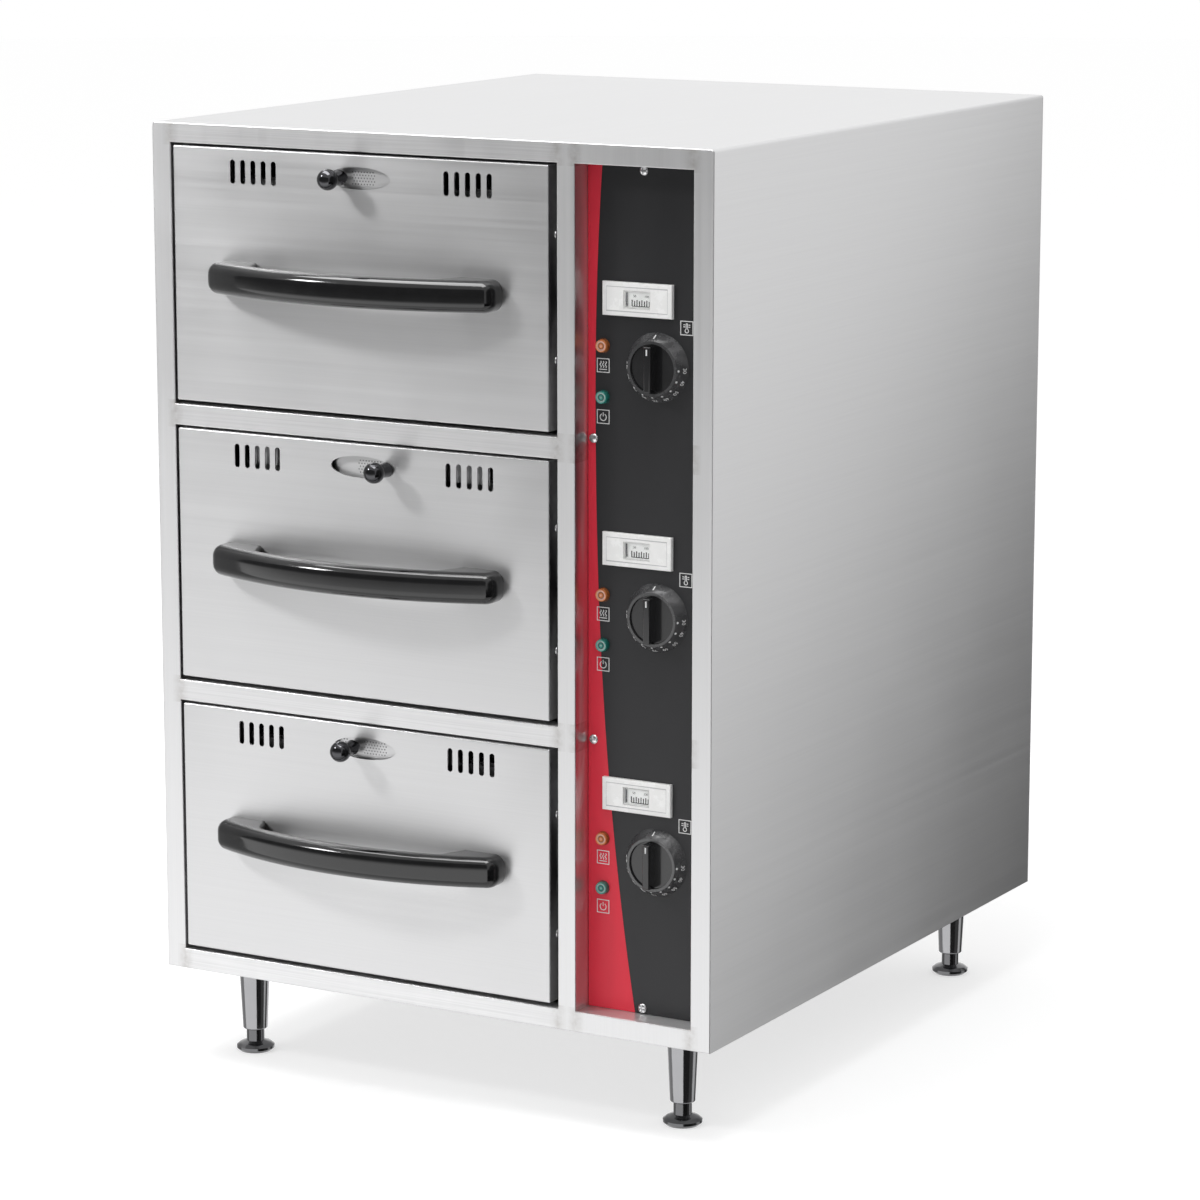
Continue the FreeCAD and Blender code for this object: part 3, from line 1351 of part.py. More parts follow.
def make_knob(name, across, up):
    """A thermostat knob: a disc with an upright grip, and the shaft that turns with it."""
    body = new_body(f"thermostat_knob_{name}")
    section = side_sketch(body, f"knob_section_{name}")
    rear = -d.bezel_floor - d.fit_gap
    outline(section, [
        (-d.knob_face, 0), (-d.knob_face, d.knob_radius), (rear, d.knob_radius),
        (rear, d.shaft_radius), (d.shaft_length, d.shaft_radius), (d.shaft_length, 0),
    ])
    turn(section, "H_Axis")
    grip = front_sketch(body, f"knob_grip_{name}", -d.knob_face)
    half, half_length = d.grip_width / 2, d.grip_length / 2
    rectangle(grip, -half, half, -half_length, half_length)
    pad(grip, d.grip_reach - d.knob_face)
    round_edges(body, f"knob_grip_edges_{name}", d.grip_round, on_front(-d.grip_reach))
    return place(body, across, d.bay_depth, up)


def make_thermostats():
    """Three thermostats behind the panel, each with a bore for its shaft and a capillary boss."""
    bodies = []
    points = control_points(d.knob_across, d.knob_drop)
    half = d.thermostat_side / 2
    for name, (across, up) in zip(DRAWERS, points):
        body = new_body(f"thermostat_{name}")
        case = front_sketch(body, f"thermostat_case_{name}", d.casing_sheet)
        rectangle(case, -half, half, -half, half)
        pad_back(case, d.thermostat_depth)
        boss = front_sketch(body, f"capillary_boss_{name}", d.casing_sheet + d.thermostat_depth)
        circle(boss, (sized(0), -half / 2), d.capillary_boss)
        pad_back(boss, d.capillary_boss * 2)
        bore = front_sketch(body, f"thermostat_bore_{name}", d.casing_sheet)
        circle(bore, (sized(0), sized(0)), d.shaft_radius + d.running_gap)
        cut(bore, d.shaft_length - d.casing_sheet + d.fit_gap)
        bodies.append(place(body, across, d.bay_depth, up))
    return group("thermostats", bodies)


def make_lamps(colour, drop):
    """Three pilot lamps of one colour."""
    lamps = []
    for name, (across, up) in zip(DRAWERS, control_points(d.lamp_across, drop)):
        body = new_body(f"lamp_{colour}_{name}")
        section = side_sketch(body, f"lamp_section_{colour}_{name}")
        outline(section, [
            (-d.lamp_proud, 0), (-d.lamp_proud, d.lamp_face_radius), (0, d.lamp_radius),
            (0, d.lamp_body_radius), (d.lamp_body_depth, d.lamp_body_radius),
            (d.lamp_body_depth, 0),
        ])
        turn(section, "H_Axis")
        lamps.append(place(body, across, d.bay_depth, up))
    return group(f"pilot_lamps_{colour}", lamps)


def make_cable_gland():
    """The cable gland in the rear panel: thread, hexagon and dome with a bore."""
    body = new_body("cable_gland")
    section = side_sketch(body, "gland_section")
    outline(section, [
        (-d.gland_inside, d.gland_bore), (-d.gland_inside, d.gland_thread), (0, d.gland_thread),
        (0, d.gland_dome), (d.gland_hexagon * 2, d.gland_dome),
        (d.gland_length, (d.gland_bore + d.gland_dome) / 2), (d.gland_length, d.gland_bore),
    ])
    turn(section, "H_Axis")
    hexagon = front_sketch(body, "gland_hexagon")
    corners = [math.radians(60 * number) for number in range(6)]
    outline(hexagon, [
        (d.gland_flange * math.cos(angle), d.gland_flange * math.sin(angle)) for angle in corners])
    circle(hexagon, (sized(0), sized(0)), d.gland_bore)
    pad_back(hexagon, d.gland_hexagon)
    return place(body, bay_left + d.gland_across, body_depth, d.gland_lift)


# ---------------------------------------------------------------- build, check, write
def make_pieces():
    """Every node of the part, in a list."""
    pieces = [
        make_front_frame(), make_outer_casing(), make_base_panel(), make_rear_panel(),
        make_inner_liner(), make_cavity_decks(), make_insulation(), make_heating_elements(),
        make_legs(), make_control_panel(), make_panel_screws(), make_rear_screws(),
        make_knob_bezels(), make_thermostats(), make_lamps("amber", d.amber_drop),
        make_lamps("green", d.green_drop), make_cable_gland(),
    ]
    pieces += make_thermometers()
    for name, across, back in leg_points():
        pieces.append(make_foot(name, across, back))
    for name, point in zip(DRAWERS, control_points(d.knob_across, d.knob_drop)):
        pieces.append(make_knob(name, *point))
    pieces += make_runners()
    for number, name in enumerate(DRAWERS):
        pieces += make_drawer(number, name)
    return pieces


def check_objects():
    """Stops if an object failed to recompute."""
    for item in doc.Objects:
        if "Invalid" in item.State or "Error" in item.State:
            raise RuntimeError(f"{item.Label} failed: {item.State}")


def check_and_write(pieces):
    """Stops if a shape is null or not valid, then writes each node's STEP file."""
    for piece in pieces:
        if piece.Shape.isNull() or not piece.Shape.isValid():
            raise RuntimeError(f"{piece.Label} has no valid shape")
    os.makedirs("parts", exist_ok=True)
    for piece in pieces:
        piece.Shape.exportStep(f"parts/{piece.Label}.step")
        print(f"{piece.Label}: {len(piece.Shape.Solids)} solids, {piece.Shape.Volume:.0f} mm3")


nodes = make_pieces()
doc.recompute()
check_objects()
check_and_write(nodes)
print(len(nodes), "nodes")
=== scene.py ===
"""Dresses the countertop warming drawer: finishes, printed marks, screws, runner balls, studio."""

import json
import logging
import math
from dataclasses import dataclass, field
from enum import Enum
from functools import reduce
from typing import Iterable, Sequence

import bmesh
import bpy
from mathutils import Euler, Matrix, Vector

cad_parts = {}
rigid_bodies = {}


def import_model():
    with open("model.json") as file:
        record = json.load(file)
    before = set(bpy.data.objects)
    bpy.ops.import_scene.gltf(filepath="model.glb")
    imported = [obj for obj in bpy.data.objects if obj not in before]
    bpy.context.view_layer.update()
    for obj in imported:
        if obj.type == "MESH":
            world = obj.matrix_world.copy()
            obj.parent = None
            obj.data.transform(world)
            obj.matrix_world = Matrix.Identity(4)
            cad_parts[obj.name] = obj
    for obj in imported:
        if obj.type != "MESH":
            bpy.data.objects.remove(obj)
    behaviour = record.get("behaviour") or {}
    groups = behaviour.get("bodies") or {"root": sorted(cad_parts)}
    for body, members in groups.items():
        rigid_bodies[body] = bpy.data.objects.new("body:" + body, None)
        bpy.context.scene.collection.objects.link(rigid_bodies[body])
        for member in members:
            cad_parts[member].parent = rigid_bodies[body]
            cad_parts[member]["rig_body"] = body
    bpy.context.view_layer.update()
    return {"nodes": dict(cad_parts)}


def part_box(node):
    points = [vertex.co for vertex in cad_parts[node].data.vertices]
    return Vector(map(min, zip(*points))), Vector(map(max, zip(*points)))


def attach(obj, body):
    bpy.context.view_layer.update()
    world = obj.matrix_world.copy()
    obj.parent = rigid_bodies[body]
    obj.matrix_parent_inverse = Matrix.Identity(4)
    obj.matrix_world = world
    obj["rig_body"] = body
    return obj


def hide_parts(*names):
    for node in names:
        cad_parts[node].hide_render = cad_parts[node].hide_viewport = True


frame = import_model()

log = logging.getLogger("warming_drawer")
logging.basicConfig(level=logging.INFO, format="%(message)s")

MM = 0.001
WELD = 0.000002
THIN = 0.000001
DRAWERS = ("top", "middle", "bottom")
Colour = tuple[float, float, float]
Point2 = tuple[float, float]
Places = Sequence[Sequence[float]]
Socket = bpy.types.NodeSocket
Value = Socket | float | tuple


# ---------------------------------------------------------------- places read from the frame
def middle_of(node: str) -> Vector:
    """Gives the middle of a CAD node's box at rest."""
    low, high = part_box(node)
    return (low + high) / 2


def three_heights(node: str) -> list[float]:
    """Finds the heights of three equal solids that share one node.

    Args:
        node: a node with one solid for each drawer.

    Returns:
        The heights of their middles, from the top down.
    """
    heights = sorted({round(v.co.z, 5) for v in frame["nodes"][node].data.vertices})
    gaps = sorted(zip(heights, heights[1:]), key=lambda pair: pair[0] - pair[1])[:2]
    edges = [heights[0]] + [h for pair in sorted(gaps) for h in pair] + [heights[-1]]
    return [(edges[n] + edges[n + 1]) / 2 for n in (4, 2, 0)]


# ---------------------------------------------------------------- node trees
class Nodes:
    """A node tree whose nodes are added one by one."""

    def __init__(self, tree: bpy.types.NodeTree) -> None:
        """Takes the tree to add to."""
        self.tree = tree

    def link(self, start: Socket, end: Socket) -> None:
        """Joins two sockets."""
        self.tree.links.new(start, end)

    def fill(self, target: Socket, value: Value) -> None:
        """Feeds an input from a socket, or sets its own value.

        Args:
            target: the input.
            value: a socket or a plain value.
        """
        if isinstance(value, Socket):
            self.link(value, target)
        else:
            target.default_value = value

    def node(self, kind: str, inputs: dict[str | int, Value] | None = None,
             **settings: object) -> bpy.types.Node:
        """Adds a node and fills its inputs.

        Args:
            kind: the node's type name.
            inputs: a socket or value for each input, by name or number.
            settings: attributes to set on it.

        Returns:
            The node.
        """
        made = self.tree.nodes.new(kind)
        for name, value in settings.items():
            setattr(made, name, value)
        for key, value in (inputs or {}).items():
            target = made.inputs[key] if isinstance(key, int) else next(
                socket for socket in made.inputs if socket.name == key and socket.enabled)
            self.fill(target, value)
        return made

    def maths(self, operation: str, *values: Value) -> Socket:
        """Adds a Math node on one to three operands."""
        return self.node("ShaderNodeMath", dict(enumerate(values)), operation=operation).outputs[0]

    def folded(self, operation: str, values: Iterable[Socket]) -> Socket:
        """Folds several values into one, two by two."""
        return reduce(lambda first, second: self.maths(operation, first, second), values)

    def ramp(self, factor: Socket, *stops: tuple[float, Colour]) -> Socket:
        """Turns a factor into a colour.

        Args:
            factor: the driving value.
            stops: places from 0 to 1, each with a colour.

        Returns:
            The colour.
        """
        made = self.node("ShaderNodeValToRGB", {"Fac": factor})
        elements = made.color_ramp.elements
        while len(elements) < len(stops):
            elements.new(0.5)
        for element, (place, colour) in zip(elements, stops):
            element.position = place
            element.color = (*colour, 1.0)
        return made.outputs["Color"]

    def spread(self, factor: Socket, low: float, high: float, start: float = 0.3,
               end: float = 0.7) -> Socket:
        """Maps a factor from one range to another.

        Args:
            factor: the driving value.
            low: result at start.
            high: result at end.
            start: lower end of the driving range.
            end: upper end of the driving range.

        Returns:
            The mapped value.
        """
        made = self.node("ShaderNodeMapRange", {"Value": factor, "From Min": start, "From Max": end,
                                                "To Min": low, "To Max": high})
        return made.outputs["Result"]

    def mixed(self, factor: Socket, first: Socket, second: Socket | Colour,
              blend: str = "MIX") -> Socket:
        """Mixes two colours.

        Args:
            factor: how much of the second shows.
            first: the first colour.
            second: the second colour.
            blend: the blending mode.

        Returns:
            The mixed colour.
        """
        other = second if isinstance(second, Socket) else (*second, 1.0)
        made = self.node("ShaderNodeMix", {0: factor, 6: first, 7: other}, data_type="RGBA",
                         blend_type=blend)
        return made.outputs[2]


class Shader(Nodes):
    """A material read in object coordinates, with one Principled surface."""

    def __init__(self, name: str) -> None:
        """Starts the material.

        Args:
            name: the material's name.
        """
        self.material = bpy.data.materials.new(name)
        self.material.use_nodes = True
        super().__init__(self.material.node_tree)
        self.surface = self.tree.nodes["Principled BSDF"]
        self.object_point = self.node("ShaderNodeTexCoord").outputs["Object"]

    def scaled(self, scale: Sequence[float]) -> Socket:
        """Stretches the object's coordinates, in cycles for each metre."""
        mapping = self.node("ShaderNodeMapping", {"Vector": self.object_point, "Scale": scale})
        return mapping.outputs["Vector"]

    def noise(self, scale: Sequence[float], detail: float = 3.0, roughness: float = 0.6) -> Socket:
        """Adds noise in stretched coordinates.

        Args:
            scale: cycles for each metre along x, y and z.
            detail: octaves of the noise.
            roughness: share of the finer octaves.

        Returns:
            The noise's factor, about 0.3 to 0.7.
        """
        made = self.node("ShaderNodeTexNoise", {"Vector": self.scaled(scale), "Scale": 1.0,
                                                "Detail": detail, "Roughness": roughness})
        return made.outputs["Fac"]

    def bumped(self, height: Socket, depth: float, strength: float = 1.0) -> None:
        """Drives the surface's normal from a height, after any bump already there.

        Args:
            height: the height factor.
            depth: metres between heights 0 and 1.
            strength: how strongly it counts.
        """
        made = self.node("ShaderNodeBump", {"Height": height, "Distance": depth,
                                            "Strength": strength})
        normal = self.surface.inputs["Normal"]
        if normal.is_linked:
            self.link(normal.links[0].from_socket, made.inputs["Normal"])
        self.link(made.outputs["Normal"], normal)

    def fill_surface(self, **values: Value) -> None:
        """Fills the surface's own sockets, named with underscores for spaces."""
        for name, value in values.items():
            self.fill(self.surface.inputs[name.replace("_", " ")], value)


# ---------------------------------------------------------------- kinds of finish
class Grain(Enum):
    """Direction of a brushed finish."""

    ACROSS = (1, 0, 0)
    BACK = (0, 1, 0)
    UPRIGHT = (0, 0, 1)

    def scale(self, along: float, over: float) -> tuple[float, ...]:
        """Gives noise scales with these cycles for each metre along and across the grain."""
        return tuple(along if axis else over for axis in self.value)


def shade(tone: Colour, factor: float, lift: float = 0.0, most: float = 1.0) -> Colour:
    """Scales a colour, lifts it and caps it."""
    return tuple(min(c * factor + lift, most) for c in tone)


@dataclass(frozen=True)
class Finish:
    """A named finish; each kind paints its own nodes."""

    name: str

    def paint(self, s: Shader) -> None:
        """Adds the finish's nodes to a shader."""
        raise NotImplementedError

    def material(self) -> bpy.types.Material:
        """Builds the finish's material.

        Returns:
            The material.
        """
        s = Shader(self.name)
        self.paint(s)
        return s.material


@dataclass(frozen=True)
class BrushedSteel(Finish):
    """Stainless sheet with a drawn grain, faint streaks and wiped smudges."""

    tone: Colour = (0.74, 0.74, 0.745)
    grain: Grain = Grain.ACROSS
    roughness: float = 0.30
    contrast: float = 0.022
    smudge: float = 0.025
    depth: float = 0.000004
    stretch: float = 0.85
    spin: str = "X"

    def paint(self, s: Shader) -> None:
        """Adds the steel's nodes.

        Args:
            s: the shader.
        """
        hair = s.noise(self.grain.scale(9, 1500), 2.0)
        streak = s.noise(self.grain.scale(1.6, 210), 3.0)
        wiped = s.noise((7, 7, 7), 4.0, 0.55)
        factor = s.maths("ADD", s.maths("MULTIPLY", hair, 0.45), s.maths("MULTIPLY", streak, 0.55))
        dark = shade(self.tone, 1 - self.contrast * 1.6)
        light = shade(self.tone, 1 + self.contrast, most=0.98)
        colour = s.ramp(factor, (0.32, dark), (0.68, light))
        smudges = s.ramp(wiped, (0.3, (1 - self.smudge,) * 3), (0.7, (1.0, 1.0, 1.0)))
        rough = s.spread(factor, self.roughness - 0.03, self.roughness + 0.03)
        patch = s.spread(wiped, -self.smudge * 0.7, self.smudge * 0.7)
        tangent = s.node("ShaderNodeTangent", direction_type="RADIAL", axis=self.spin)
        s.fill_surface(Base_Color=s.mixed(s.maths("ADD", wiped, 1.0), colour, smudges, "MULTIPLY"),
                       Roughness=s.maths("ADD", rough, patch), Tangent=tangent.outputs[0],
                       Metallic=1.0, Anisotropic=self.stretch)
        s.bumped(hair, self.depth, 0.7)
        s.bumped(streak, self.depth, 0.5)


@dataclass(frozen=True)
class FrameSteel(BrushedSteel):
    """The front frame's steel: upright grain on the stiles, level grain on the rails, and the
    dressed weld seams where they meet."""

    rails: tuple[Point2, ...] = ()
    rail_span: Point2 = (0.0, 0.0)
    seams: tuple[float, ...] = ()
    seam_reach: float = 9 * MM
    seam_tone: Colour = (0.50, 0.485, 0.47)

    def paint(self, s: Shader) -> None:
        """Adds the frame's nodes.

        Args:
            s: the shader.
        """
        super().paint(s)
        across, _, up = s.node("ShaderNodeSeparateXYZ", {0: s.object_point}).outputs
        low, high = self.rail_span
        in_span = s.maths("COMPARE", across, (low + high) / 2, (high - low) / 2)
        rails = s.folded("MAXIMUM", (s.maths("COMPARE", up, (low + high) / 2, (high - low) / 2)
                                     for low, high in self.rails))
        level = s.noise(Grain.ACROSS.scale(7, 900), 3.0)
        level_colour = s.ramp(level, (0.32, shade(self.tone, 0.93)), (0.68, shade(self.tone, 1.05)))
        upright_colour = s.surface.inputs["Base Color"].links[0].from_socket
        colour = s.mixed(s.maths("MULTIPLY", rails, in_span), upright_colour, level_colour)
        away = [s.maths("ABSOLUTE", s.maths("SUBTRACT", across, place)) for place in self.seams]
        tint = s.folded("MAXIMUM", (s.spread(gap, 1.0, 0.0, 0.0, self.seam_reach) for gap in away))
        mottled = s.maths("MULTIPLY", tint, s.spread(s.noise((160, 160, 160), 3.0), 0.15, 0.75))
        s.fill_surface(Base_Color=s.mixed(s.maths("MULTIPLY", mottled, rails), colour,
                                          self.seam_tone))


@dataclass(frozen=True)
class PolishedMetal(Finish):
    """Chrome plate or polished steel with the finest of scratches."""

    tone: Colour = (0.80, 0.80, 0.81)
    roughness: float = 0.10
    scratch: float = 0.05

    def paint(self, s: Shader) -> None:
        """Adds the metal's nodes.

        Args:
            s: the shader.
        """
        scratches = s.noise((900, 900, 60), 3.0)
        cloud = s.noise((25, 25, 25), 3.0)
        rough = s.spread(scratches, self.roughness - self.scratch, self.roughness + self.scratch)
        s.fill_surface(Base_Color=s.ramp(cloud, (0.3, shade(self.tone, 0.93)), (0.7, self.tone)),
                       Roughness=rough, Metallic=1.0)
        s.bumped(scratches, 0.000004, 0.6)


@dataclass(frozen=True)
class DullMetal(Finish):
    """Mill finished, zinc plated or oxidised metal, with a mottled surface."""

    tone: Colour
    second: Colour
    roughness: float = 0.45
    mottle: float = 60.0
    depth: float = 0.00003

    def paint(self, s: Shader) -> None:
        """Adds the metal's nodes.

        Args:
            s: the shader.
        """
        cloud = s.noise((self.mottle,) * 3, 5.0, 0.65)
        fine = s.noise((1400, 1400, 1400), 2.0)
        s.fill_surface(Base_Color=s.ramp(cloud, (0.35, self.tone), (0.68, self.second)),
                       Roughness=s.spread(cloud, self.roughness - 0.03, self.roughness + 0.04),
                       Metallic=1.0)
        s.bumped(fine, self.depth, 0.4)


@dataclass(frozen=True)
class GlossPlastic(Finish):
    """Moulded plastic with a clear skin, the slightest orange peel and a few dull spots."""

    tone: Colour
    roughness: float = 0.12
    peel: float = 0.00002
    coat: float = 0.6

    def paint(self, s: Shader) -> None:
        """Adds the plastic's nodes.

        Args:
            s: the shader.
        """
        peel = s.noise((220, 220, 220), 2.0, 0.4)
        dust = s.noise((45, 45, 45), 6.0, 0.7)
        light = shade(self.tone, 1.25, 0.004)
        s.fill_surface(Base_Color=s.ramp(dust, (0.45, self.tone), (0.8, light)),
                       Roughness=s.spread(dust, self.roughness - 0.03, self.roughness + 0.08),
                       Coat_Weight=self.coat, Coat_Roughness=0.04, IOR=1.5)
        s.bumped(peel, self.peel, 0.5)


@dataclass(frozen=True)
class Film(Finish):
    """Printed overlay film with a fine matt texture."""

    tone: Colour
    roughness: float = 0.42

    def paint(self, s: Shader) -> None:
        """Adds the film's nodes.

        Args:
            s: the shader.
        """
        texture = s.node("ShaderNodeTexVoronoi",
                         {"Vector": s.scaled((1600, 1600, 1600)), "Scale": 1.0})
        wiped = s.noise((18, 18, 5), 5.0, 0.6)
        s.fill_surface(Base_Color=s.ramp(wiped, (0.3, shade(self.tone, 0.88)), (0.7, self.tone)),
                       Roughness=s.spread(wiped, self.roughness - 0.06, self.roughness + 0.08),
                       IOR=1.48, Specular_IOR_Level=0.38)
        s.bumped(texture.outputs["Distance"], 0.00004, 0.35)


@dataclass(frozen=True)
class Ink(Finish):
    """Flat printing ink, slightly broken up by the surface under it."""

    tone: Colour

    def paint(self, s: Shader) -> None:
        """Adds the ink's nodes.

        Args:
            s: the shader.
        """
        broken = s.noise((2500, 2500, 2500), 2.0)
        s.fill_surface(Base_Color=s.ramp(broken, (0.35, shade(self.tone, 0.86)), (0.6, self.tone)),
                       Roughness=s.spread(broken, 0.45, 0.6))


@dataclass(frozen=True)
class Lens(Finish):
    """Ridged lamp lenses with painted rings: pale rings of painted highlight and dark rings of
    painted shade, inside a rim darkened with painted shade, about three centres.
    """

    tone: Colour
    across: float
    heights: tuple[float, ...]
    radius: float = 6.2 * MM
    glow: float = 0.12

    def paint(self, s: Shader) -> None:
        """Adds the lens's nodes.

        Args:
            s: the shader.
        """
        flat = s.node("ShaderNodeVectorMath", {0: s.object_point, 1: (1, 0, 1)},
                      operation="MULTIPLY").outputs[0]
        away = [s.node("ShaderNodeVectorMath", {0: flat, 1: (self.across, 0, up)},
                       operation="DISTANCE").outputs["Value"] for up in self.heights]
        place = s.spread(s.folded("MINIMUM", away), 0.0, 1.0, 0.0, self.radius)
        # The pale and dark rings are painted highlight and painted shade of the ridges; the lens
        # glows faintly in these same colours.
        dark, pale = shade(self.tone, 0.22), shade(self.tone, 0.60, 0.34)
        rings = s.ramp(place, (0.0, pale), (0.22, self.tone), (0.40, dark), (0.58, pale),
                       (0.76, self.tone), (0.92, dark), (1.0, dark))
        swirl = s.noise((420, 420, 420), 3.0)
        colour = s.mixed(s.spread(swirl, 0.0, 0.2), rings, self.tone)
        s.fill_surface(Base_Color=colour, Emission_Color=colour, Emission_Strength=self.glow,
                       Roughness=s.spread(swirl, 0.10, 0.2), Coat_Weight=0.8, Coat_Roughness=0.03)


@dataclass(frozen=True)
class ClearPlastic(Finish):
    """A thin clear window."""

    def paint(self, s: Shader) -> None:
        """Adds the window's nodes.

        Args:
            s: the shader.
        """
        haze = s.noise((120, 120, 120), 4.0)
        s.fill_surface(Base_Color=s.ramp(haze, (0.3, (0.95, 0.96, 0.96)), (0.7, (1.0, 1.0, 1.0))),
                       Roughness=s.spread(haze, 0.0, 0.05), Transmission_Weight=1.0, IOR=1.12,
                       Alpha=0.25)


@dataclass(frozen=True)
class Wool(Finish):
    """Mineral wool: matted fibres."""

    def paint(self, s: Shader) -> None:
        """Adds the wool's nodes.

        Args:
            s: the shader.
        """
        fibre = s.noise((260, 260, 700), 8.0, 0.8)
        clump = s.noise((30, 30, 30), 5.0)
        colour = s.ramp(fibre, (0.3, (0.36, 0.30, 0.17)), (0.7, (0.72, 0.64, 0.42)))
        s.fill_surface(Base_Color=s.mixed(clump, colour, (0.50, 0.42, 0.25)),
                       Roughness=s.spread(clump, 0.85, 1.0), Sheen_Weight=0.3)
        s.bumped(fibre, 0.001, 0.8)


# ---------------------------------------------------------------- making pieces
def placed(name: str, data: bpy.types.ID) -> bpy.types.Object:
    """Puts an object with this data in the scene, at the origin.

    Args:
        name: the object's name.
        data: its mesh, curve, lamp or camera.

    Returns:
        The object.
    """
    made = bpy.data.objects.new(name, data)
    bpy.context.scene.collection.objects.link(made)
    return made


def coat(mesh: bpy.types.Mesh, material: bpy.types.Material) -> None:
    """Gives a mesh its only material."""
    mesh.materials.clear()
    mesh.materials.append(material)


def piece_from(mesh: bpy.types.Mesh, name: str, body: str, material: bpy.types.Material,
               sharp: float = 32.0) -> bpy.types.Object:
    """Turns a mesh in the frame's place into a piece that rides on a body.

    Args:
        mesh: the mesh, already in place.
        name: the piece's name.
        body: the CAD body that it moves with.
        material: its finish.
        sharp: degrees past which an edge stays sharp.

    Returns:
        The new object.
    """
    coat(mesh, material)
    mesh.shade_smooth()
    mesh.set_sharp_from_angle(angle=math.radians(sharp))
    made = placed(name, mesh)
    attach(made, body)
    log.info("%s rides on %s: %d faces", name, body, len(mesh.polygons))
    return made


def mend(mesh: bpy.types.Mesh, weld: float = 0.0, thin: float = 0.0, outward: bool = False) -> None:
    """Cleans a mesh in place.

    Args:
        mesh: the mesh.
        weld: points nearer to each other than this become one.
        thin: edges shorter and faces narrower than this are dissolved.
        outward: whether its faces are turned outwards.
    """
    work = bmesh.new()
    work.from_mesh(mesh)
    if weld:
        bmesh.ops.remove_doubles(work, verts=work.verts, dist=weld)
    if thin:
        bmesh.ops.dissolve_degenerate(work, edges=work.edges, dist=thin)
    if outward:
        bmesh.ops.recalc_face_normals(work, faces=work.faces)
    work.to_mesh(mesh)
    work.free()


def merged_copy(node: str, material: bpy.types.Material) -> bpy.types.Object:
    """Stands a welded, smooth shaded copy of a CAD node in for that node.

    Args:
        node: the node's name.
        material: its finish.

    Returns:
        The new object.
    """
    source = frame["nodes"][node]
    mesh = source.data.copy()
    mend(mesh, WELD, THIN)
    if "custom_normal" in mesh.attributes:
        mesh.attributes.remove(mesh.attributes["custom_normal"])
    made = piece_from(mesh, f"{node}_smooth", source["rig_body"], material)
    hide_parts(node)
    return made


def mesh_of(name: str, points: Iterable[Sequence[float]],
            faces: Iterable[Sequence[int]]) -> bpy.types.Mesh:
    """Makes a mesh and turns its faces outwards.

    Args:
        name: the mesh's name.
        points: its points.
        faces: indexes of each face's points.

    Returns:
        The mesh.
    """
    mesh = bpy.data.meshes.new(name)
    mesh.from_pydata([tuple(p) for p in points], [], [tuple(f) for f in faces])
    mend(mesh, WELD / 4, outward=True)
    return mesh


def evaluated_mesh(holder: bpy.types.Object) -> bpy.types.Mesh:
    """Takes an object's final mesh, and removes the object and its modifiers.

    Args:
        holder: the object.

    Returns:
        A plain mesh.
    """
    bpy.context.view_layer.update()
    graph = bpy.context.evaluated_depsgraph_get()
    mesh = bpy.data.meshes.new_from_object(holder.evaluated_get(graph))
    holder.modifiers.clear()
    bpy.data.objects.remove(holder)
    return mesh


def joined(meshes: Sequence[bpy.types.Mesh], name: str) -> bpy.types.Mesh:
    """Joins meshes into one.

    Args:
        meshes: the meshes; they are removed.
        name: the new mesh's name.

    Returns:
        The joined mesh.
    """
    whole = bmesh.new()
    for mesh in meshes:
        whole.from_mesh(mesh)
        bpy.data.meshes.remove(mesh)
    result = bpy.data.meshes.new(name)
    whole.to_mesh(result)
    whole.free()
    return result


def tube_faces(spans: int, around: int, count: int) -> list[tuple[int, ...]]:
    """Gives the faces between rings of points.

    Args:
        spans: steps from ring to ring.
        around: points in each ring.
        count: how many rings there are; the last step may lead back to the first.

    Returns:
        Indexes of each face's points.
    """
    return [(n * around + k, n * around + (k + 1) % around,
             (n + 1) % count * around + (k + 1) % around, (n + 1) % count * around + k)
            for n in range(spans) for k in range(around)]


def end_faces(around: int, count: int) -> list[tuple[int, ...]]:
    """Gives the two faces that close a tube's ends."""
    return [tuple(range(around)), tuple((count - 1) * around + k for k in range(around))[::-1]]


def ribbon(points: Sequence[Point2], width: float, thickness: float,
           closed: bool = False) -> bpy.types.Mesh:
    """Draws a printed stroke as a thin raised band, seen from the front.

    Args:
        points: places across and up along its middle line.
        width: the stroke's width.
        thickness: how far it stands proud.
        closed: whether the end joins the start.

    Returns:
        A mesh with its back face at y 0.
    """
    count = len(points)
    rings = []
    for n, (across, up) in enumerate(points):
        before = points[(n - 1) % count] if closed or n else points[n]
        after = points[(n + 1) % count] if closed or n < count - 1 else points[n]
        run = Vector((after[0] - before[0], after[1] - before[1])).normalized()
        inward = Vector((across - before[0], up - before[1]))
        miter = 1.0
        if inward.length > 0 and (closed or 0 < n < count - 1):
            miter = 1 / max(abs(inward.normalized().dot(run)), 0.5)
        off = Vector((-run.y, run.x)) * (width / 2 * miter)
        rings += [(across + off.x, 0.0, up + off.y), (across + off.x, -thickness, up + off.y),
                  (across - off.x, -thickness, up - off.y), (across - off.x, 0.0, up - off.y)]
    faces = tube_faces(count if closed else count - 1, 4, count)
    if not closed:
        faces += end_faces(4, count)
    return mesh_of("stroke", rings, faces)


def arc(centre: Point2, radius: float, start: float, end: float, steps: int = 24) -> list[Point2]:
    """Gives points across and up on an arc, from degrees clockwise from straight up."""
    angles = [math.radians(start + (end - start) * n / steps) for n in range(steps + 1)]
    return [(centre[0] + radius * math.sin(a), centre[1] + radius * math.cos(a)) for a in angles]


